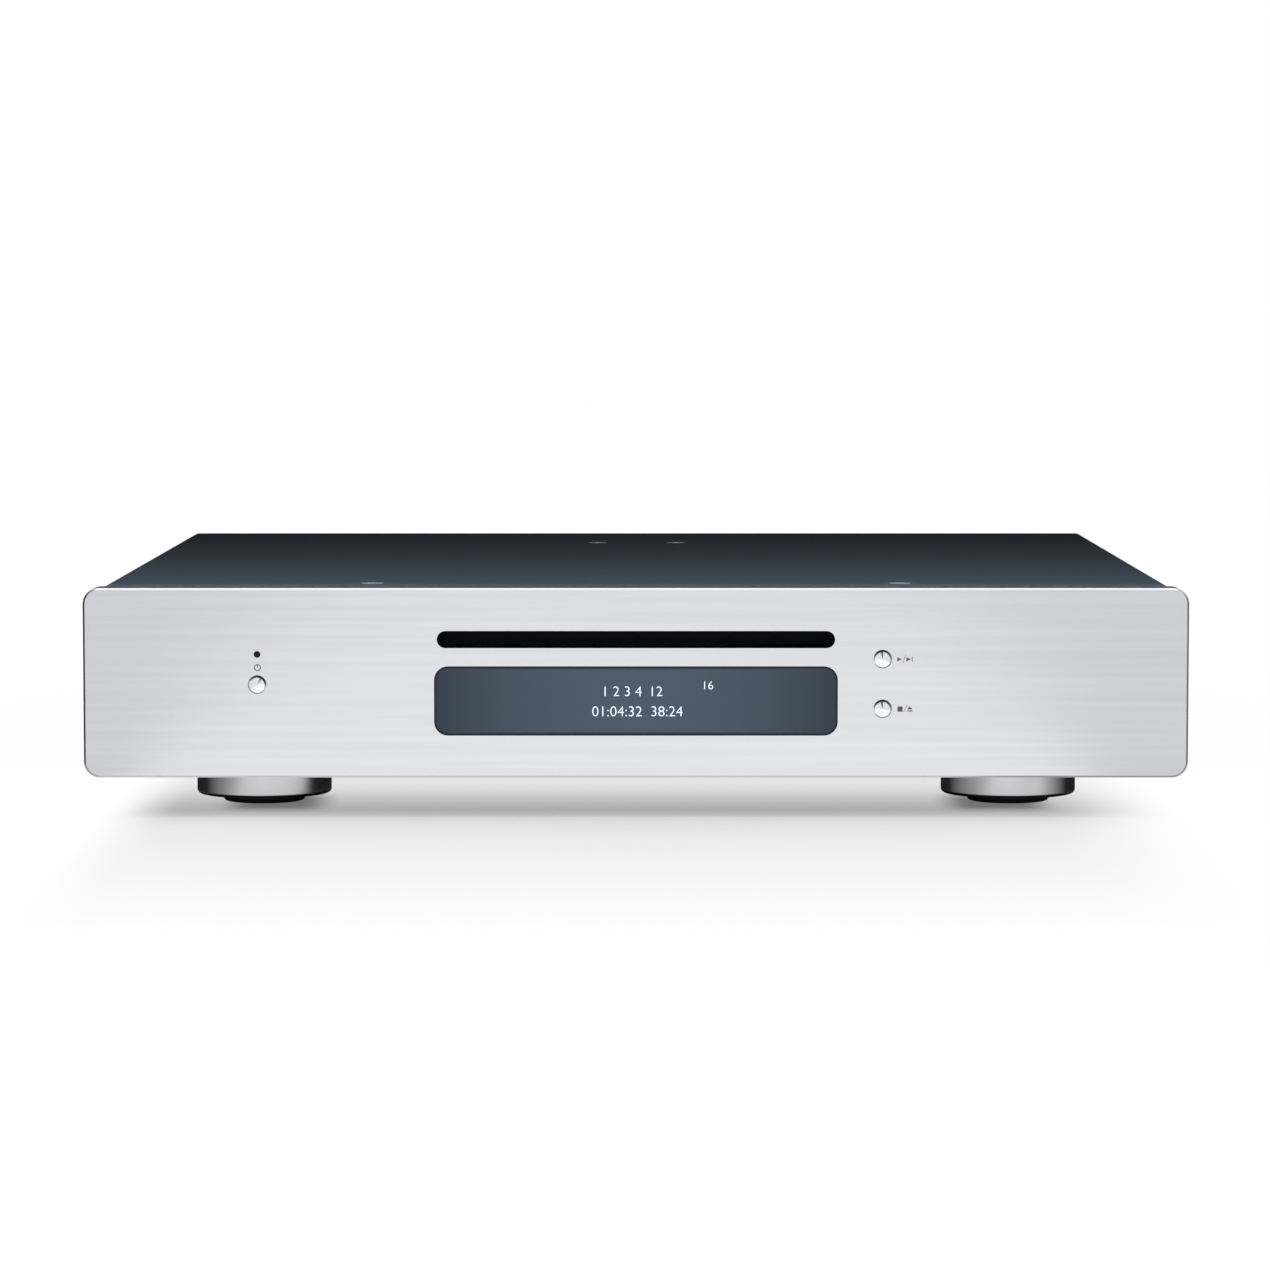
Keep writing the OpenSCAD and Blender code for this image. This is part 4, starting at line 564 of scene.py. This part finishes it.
def turnedCap(name, node):
    # Profile from the middle out: the depth is cone * r plus a cosine ripple, then a quarter circle
    # over the rim, then straight back to the flange. It turns about the key's own line.
    across, up = middleOf(node)
    middle = (across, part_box(node)[0][1], up)
    cap = keyCap
    reach = np.linspace(0, cap["face"], cap["rings"] * cap["steps"] + 1)
    ripple = cap["ripple"] * (1 - np.cos(2 * np.pi * cap["rings"] * reach / cap["face"])) / 2
    lean = np.linspace(0, np.pi / 2, cap["rimSteps"] + 1)[1:]
    rim = cap["face"] + cap["edge"]
    radius = np.concatenate([reach, cap["face"] + cap["edge"] * np.sin(lean),
                             [rim, cap["flange"], cap["flange"], 0]])
    depth = np.concatenate([cap["cone"] * reach + ripple,
                            cap["cone"] * cap["face"] + cap["edge"] * (1 - np.cos(lean)),
                            [cap["seat"], cap["seat"], cap["back"], cap["back"]]])
    mesh = gridMesh(name, spin(radius * mm, -depth * mm, middle, cap["turns"]))
    addPiece(name, mesh, "key_face", node, (node,))


for key in keys:
    turnedCap(key + "Cap", key + "_button")
print("stage: keys turned")


def slash(low, high, width):
    # A slanted bar from low to high, width wide along x.
    (x0, z0), (x1, z1) = low, high
    return [(x0 - width / 2, z0), (x0 + width / 2, z0), (x1 + width / 2, z1), (x1 - width / 2, z1)]


def ringPieces(inner, outer, count):
    # A flat ring as count four-cornered pieces between two circles.
    turn = np.linspace(0, 2 * np.pi, count + 1)
    arms = np.stack([np.cos(turn), np.sin(turn)], axis=-1)
    return list(np.stack([inner * arms[:-1], outer * arms[:-1], outer * arms[1:], inner * arms[1:]],
                         axis=1))


def bar(x, z, width, height):
    # An upright rectangle from its lower left corner.
    return [(x, z), (x + width, z), (x + width, z + height), (x, z + height)]


def arrow(x, length, half):
    # A triangle that points towards +x from its base at x.
    return [(x, -half), (x + length, 0), (x, half)]


# Prints beside the keys in mm: each one's place from the middle of its key, and its shapes
prints = {
    "standby": ((0.1, 5.4), [*ringPieces(0.80, 1.10, 24), bar(-0.13, 0.05, 0.26, 0.74)]),
    "play": ((4.6, -0.05), [arrow(0, 1.47, 0.71), slash((1.69, -1.22), (2.67, 1.28), 0.17),
                            arrow(2.9, 1.4, 0.71), bar(4.6, -0.8, 0.24, 1.6)]),
    "stop": ((4.7, -0.05), [bar(0, -0.82, 1.66, 1.64), slash((2.0, -0.96), (3.1, 1.38), 0.17),
                            [(3.1, -0.12), (4.76, -0.12), (3.93, 0.92)],
                            bar(3.1, -0.8, 1.66, 0.35)]),
}
# How thick prints and figures are, and how deep they sit in the surface, in mm
printed = {"print": 0.012, "figure": 0.02, "sunk": 0.002}

outlines = []
for key, (shift, shapes) in prints.items():
    corner = np.array(middleOf(key + "_button")) / mm + shift
    outlines += [(np.array(shape) + corner) * mm for shape in shapes]
printMesh = plates("keyPrints", outlines, panelFront + printed["sunk"] * mm, printed["print"] * mm)
addPiece("keyPrints", printMesh, "key_print", "case")


# Figures of the display in mm: words, height, baseline from the glass's middle, left or right end
figures = [("1 2 3 4", 3.1, 1.5, None, 1.8), ("12", 3.1, 1.5, 5.0, None),
           ("01:04:32", 3.2, -4.92, None, 1.9), ("38:24", 3.2, -4.92, 4.9, None),
           ("16", 2.6, 3.65, 21.6, None)]
# Their letters at size 1: half thickness, steps of a curve, and how much thinner the strokes are
lettering = {"extrude": 0.5, "resolution_u": 5, "offset": -0.009}


def figureMesh(rows, front, middle, thickness):
    # Each row of figures is measured at size 1, scaled to its height, and stood up on the glass.
    points, faces, first = [], [], 0
    for words, height, base, left, right in rows:
        curve = bpy.data.curves.new("figures", "FONT")
        curve.body = words
        for setting, value in lettering.items():
            setattr(curve, setting, value)
        holder = bpy.data.objects.new("figures", curve)
        bpy.context.scene.collection.objects.link(holder)
        bpy.context.view_layer.update()
        graph = bpy.context.evaluated_depsgraph_get()
        made = bpy.data.meshes.new_from_object(holder.evaluated_get(graph))
        raw = np.empty(len(made.vertices) * 3)
        made.vertices.foreach_get("co", raw)
        corners = np.empty(len(made.loops), dtype=np.int32)
        made.loops.foreach_get("vertex_index", corners)
        starts = np.empty(len(made.polygons), dtype=np.int32)
        made.polygons.foreach_get("loop_start", starts)
        raw = raw.reshape(-1, 3)
        scale = height / raw[:, 1].max()
        ends = raw[:, 0].min() * scale, raw[:, 0].max() * scale
        shift = left - ends[0] if left is not None else right - ends[1]
        points.append(np.column_stack([(raw[:, 0] * scale + shift) * mm,
                                       front - (raw[:, 2] + lettering["extrude"]) * thickness,
                                       middle + (raw[:, 1] * scale + base) * mm]))
        faces += [part.tolist() for part in np.split(corners + first, starts[1:])]
        first += len(raw)
        bpy.data.objects.remove(holder)
        bpy.data.meshes.remove(made)
    mesh = bpy.data.meshes.new("displayFigures")
    mesh.from_pydata(np.concatenate(points).tolist(), [], faces)
    tidyMesh(mesh)
    return mesh


glassLow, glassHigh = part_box("display_window")
glassMiddle = (glassLow[2] + glassHigh[2]) / 2
figurePlates = figureMesh(figures, glassLow[1] + printed["sunk"] * mm, glassMiddle,
                          printed["figure"] * mm)
addPiece("displayFigures", figurePlates, "display_figures", "case")
print("stage: prints and figures placed")


# Cards: middle, half width, half height, the axis it stands square to, and light. Only the lamps
# among them light dull surfaces.
cards = {
    "softbox": ((0.0, -2.6, 0.62), 0.335, 0.62, "y", (1.1, 1.1, 1.1)),
    "frontSheet": ((-0.008, -0.80, 0.002), 0.16, 0.62, "z", (1.29, 1.29, 1.29)),
    "overhead": ((0.0, -0.3, 1.8), 1.0, 0.8, "z", (1.6, 1.6, 1.6)),
    "backSky": ((0.0, 1.0, 1.3), 2.0, 1.0, "y", (0.85, 1.1, 1.4)),
    "blackStrip": ((0.1, -2.3, 0.62), 0.13, 0.34, "y", (0, 0, 0)),
    "blackBack": ((0.0, 0.175, 0.118), 0.9, 0.063, "y", (0, 0, 0)),
    "dimBack": ((0.0, 0.172, 0.102), 0.9, 0.0025, "y", (0.24, 0.26, 0.30)),
    "blackLeft": ((-0.24, 0.0, 0.132), 0.165, 0.130, "x", (0, 0, 0)),
    "blackRight": ((0.24, 0.0, 0.132), 0.155, 0.130, "x", (0, 0, 0)),
}
# Graded cards beside the front feet: x, where they begin and end along y, where white has turned to
# black, and the power of the fall
footCards = {"besideLeftFoot": (-0.152, -0.172, -0.03, -0.119, 0.80),
             "besideRightFoot": (0.092, -0.172, -0.03, -0.114, 0.75),
             "behindRightFoot": (0.150, -0.146, -0.03, -0.119, 1.0)}
footCardTop, footCardLeast = 0.013, 0.02
lamps = ("softbox", "overhead")

# Floor: shade of the paper, the depth and reach of its painted shadow near the case, how much plain
# white shows, where the case stands, and the painted shadows round the front feet
paper = {"half": 6.0, "shade": 0.98, "paintedShadow": 0.24, "paintedShadowY": (0.19, 0.62), "paintedShadowX": (0.17, 0.40),
         "whiteY": (-0.17, -0.05), "white": (0.3, 0.78), "leftEnd": (-0.172, -0.146),
         "rightEnd": (0.125, 0.178), "sideY": (-0.06, 0.06), "sideWhite": (1.0, 0.75),
         "caseX": (0.168, 0.174), "caseY": (0.124, 0.154), "footX": 0.117,
         "contactX": (0.008, 0.021), "contactFront": (-0.1505, -0.131),
         "contactBack": (-0.110, -0.085), "contact": 0.68}


def stageMesh(name, corners, build):
    # A four-cornered sheet of the studio, with the shader that build makes.
    material = bpy.data.materials.new(name + "Surface")
    tree = newTree(material)
    addNode(tree, "ShaderNodeOutputMaterial", {}, {"Surface": build(tree)})
    mesh = bpy.data.meshes.new(name)
    mesh.from_pydata(corners, [], [(0, 1, 2, 3)])
    mesh.materials.append(material)
    item = bpy.data.objects.new(name, mesh)
    bpy.context.scene.collection.objects.link(item)
    return item


def glow(tree, shade):
    # Plain light of one colour.
    return addNode(tree, "ShaderNodeEmission", {}, {"Color": colour(shade)})


def fall(tree, start, end, power):
    # White at start along y, almost black from end on: the share of the way left, to the power.
    y, = axes(tree, (1,))
    share = (((y - end) / (start - end)).atLeast(0.0) ** power).atLeast(footCardLeast)
    return addNode(tree, "ShaderNodeEmission", {}, {"Color": share})


def floorPaper(tree):
    # White paper with a painted shadow near the case. The camera sees part of it as plain white,
    # more so under the case and beside it, which lifts the shadow there as painted light, and less
    # round the front feet, which paints darker shadows round them. Glossy and clear surfaces see it
    # plain white, but not under the case.
    x, y = axes(tree, (0, 1))
    # Painted shadow: the paper is darker near the case.
    near = ease(tree, abs(y), *paper["paintedShadowY"], 1.0, 0.0)
    near = near * ease(tree, abs(x), *paper["paintedShadowX"], 1.0, 0.0)
    shade = (1 - near * paper["paintedShadow"]) * paper["shade"]
    sheet = addNode(tree, "ShaderNodeBsdfDiffuse", {}, {"Color": shade})
    beside = ease(tree, x, *paper["rightEnd"], 0.0, 1.0)
    beside = beside + ease(tree, x, *paper["leftEnd"], 1.0, 0.0)
    beside = beside * ease(tree, y, *paper["sideY"], *paper["sideWhite"])
    # Painted contact shadows round the front feet: less plain white there.
    contact = ease(tree, abs(abs(x) - paper["footX"]), *paper["contactX"], paper["contact"], 0.0)
    contact = contact * ease(tree, y, *paper["contactFront"], 0.0, 1.0)
    contact = contact * ease(tree, y, *paper["contactBack"], 1.0, 0.0)
    white = ease(tree, y, *paper["whiteY"], *paper["white"])
    white = (white + (1 - white) * beside) * (1 - contact)
    outside = ease(tree, abs(x), *paper["caseX"], 0.0, 1.0).atLeast(
        ease(tree, abs(y), *paper["caseY"], 0.0, 1.0))
    camera, glossy, clear = [addNode(tree, "ShaderNodeLightPath", output=ray) for ray in (0, 3, 6)]
    share = (camera * white).atLeast(glossy.atLeast(clear) * outside)
    return addNode(tree, "ShaderNodeMixShader", {}, {0: share, 1: sheet, 2: glow(tree, (1, 1, 1))})


half = paper["half"]
corners = [(-half, -half, 0), (half, -half, 0), (half, half, 0), (-half, half, 0)]
stageMesh("floor", corners, floorPaper)
surfaces = {}
for name, ((x, y, z), w, h, facing, light) in cards.items():
    sides = {"y": [(x - w, y, z - h), (x - w, y, z + h), (x + w, y, z + h), (x + w, y, z - h)],
             "z": [(x - w, y - h, z), (x - w, y + h, z), (x + w, y + h, z), (x + w, y - h, z)],
             "x": [(x, y - w, z - h), (x, y - w, z + h), (x, y + w, z + h), (x, y + w, z - h)]}
    surfaces[name] = stageMesh(name, sides[facing], lambda tree: glow(tree, light))
for name, (x, start, stop, dark, power) in footCards.items():
    corners = [(x, start, 0), (x, start, footCardTop), (x, stop, footCardTop), (x, stop, 0)]
    surfaces[name] = stageMesh(name, corners, lambda tree: fall(tree, start, dark, power))
for name, card in surfaces.items():
    card.visible_camera = card.visible_transmission = card.visible_shadow = False
    card.visible_diffuse = name in lamps

world = bpy.data.worlds.new("studio")
bpy.context.scene.world = world
worldTree = newTree(world)
sky = addNode(worldTree, "ShaderNodeBackground", {}, {"Color": (1, 1, 1, 1), "Strength": 1.0})
addNode(worldTree, "ShaderNodeOutputWorld", {}, {"Surface": sky})

# Camera: focal length and sensor in mm, the rest in metres and degrees
lens = {"focal": 132.93, "sensor": 36.0, "aside": -0.0067, "nearest": 0.01,
        "place": (0.0024, -1.6425, 0.1709), "pitch": 85.641}
cameraData = bpy.data.cameras.new("camera")
cameraData.lens, cameraData.sensor_width = lens["focal"], lens["sensor"]
cameraData.shift_x, cameraData.clip_start = lens["aside"], lens["nearest"]
camera = bpy.data.objects.new("camera", cameraData)
camera.location = lens["place"]
camera.rotation_euler = (math.radians(lens["pitch"]), 0, 0)
bpy.context.scene.collection.objects.link(camera)
bpy.context.scene.camera = camera
bpy.context.scene.view_settings.view_transform = "Standard"
print("stage: floor, cards and camera set")
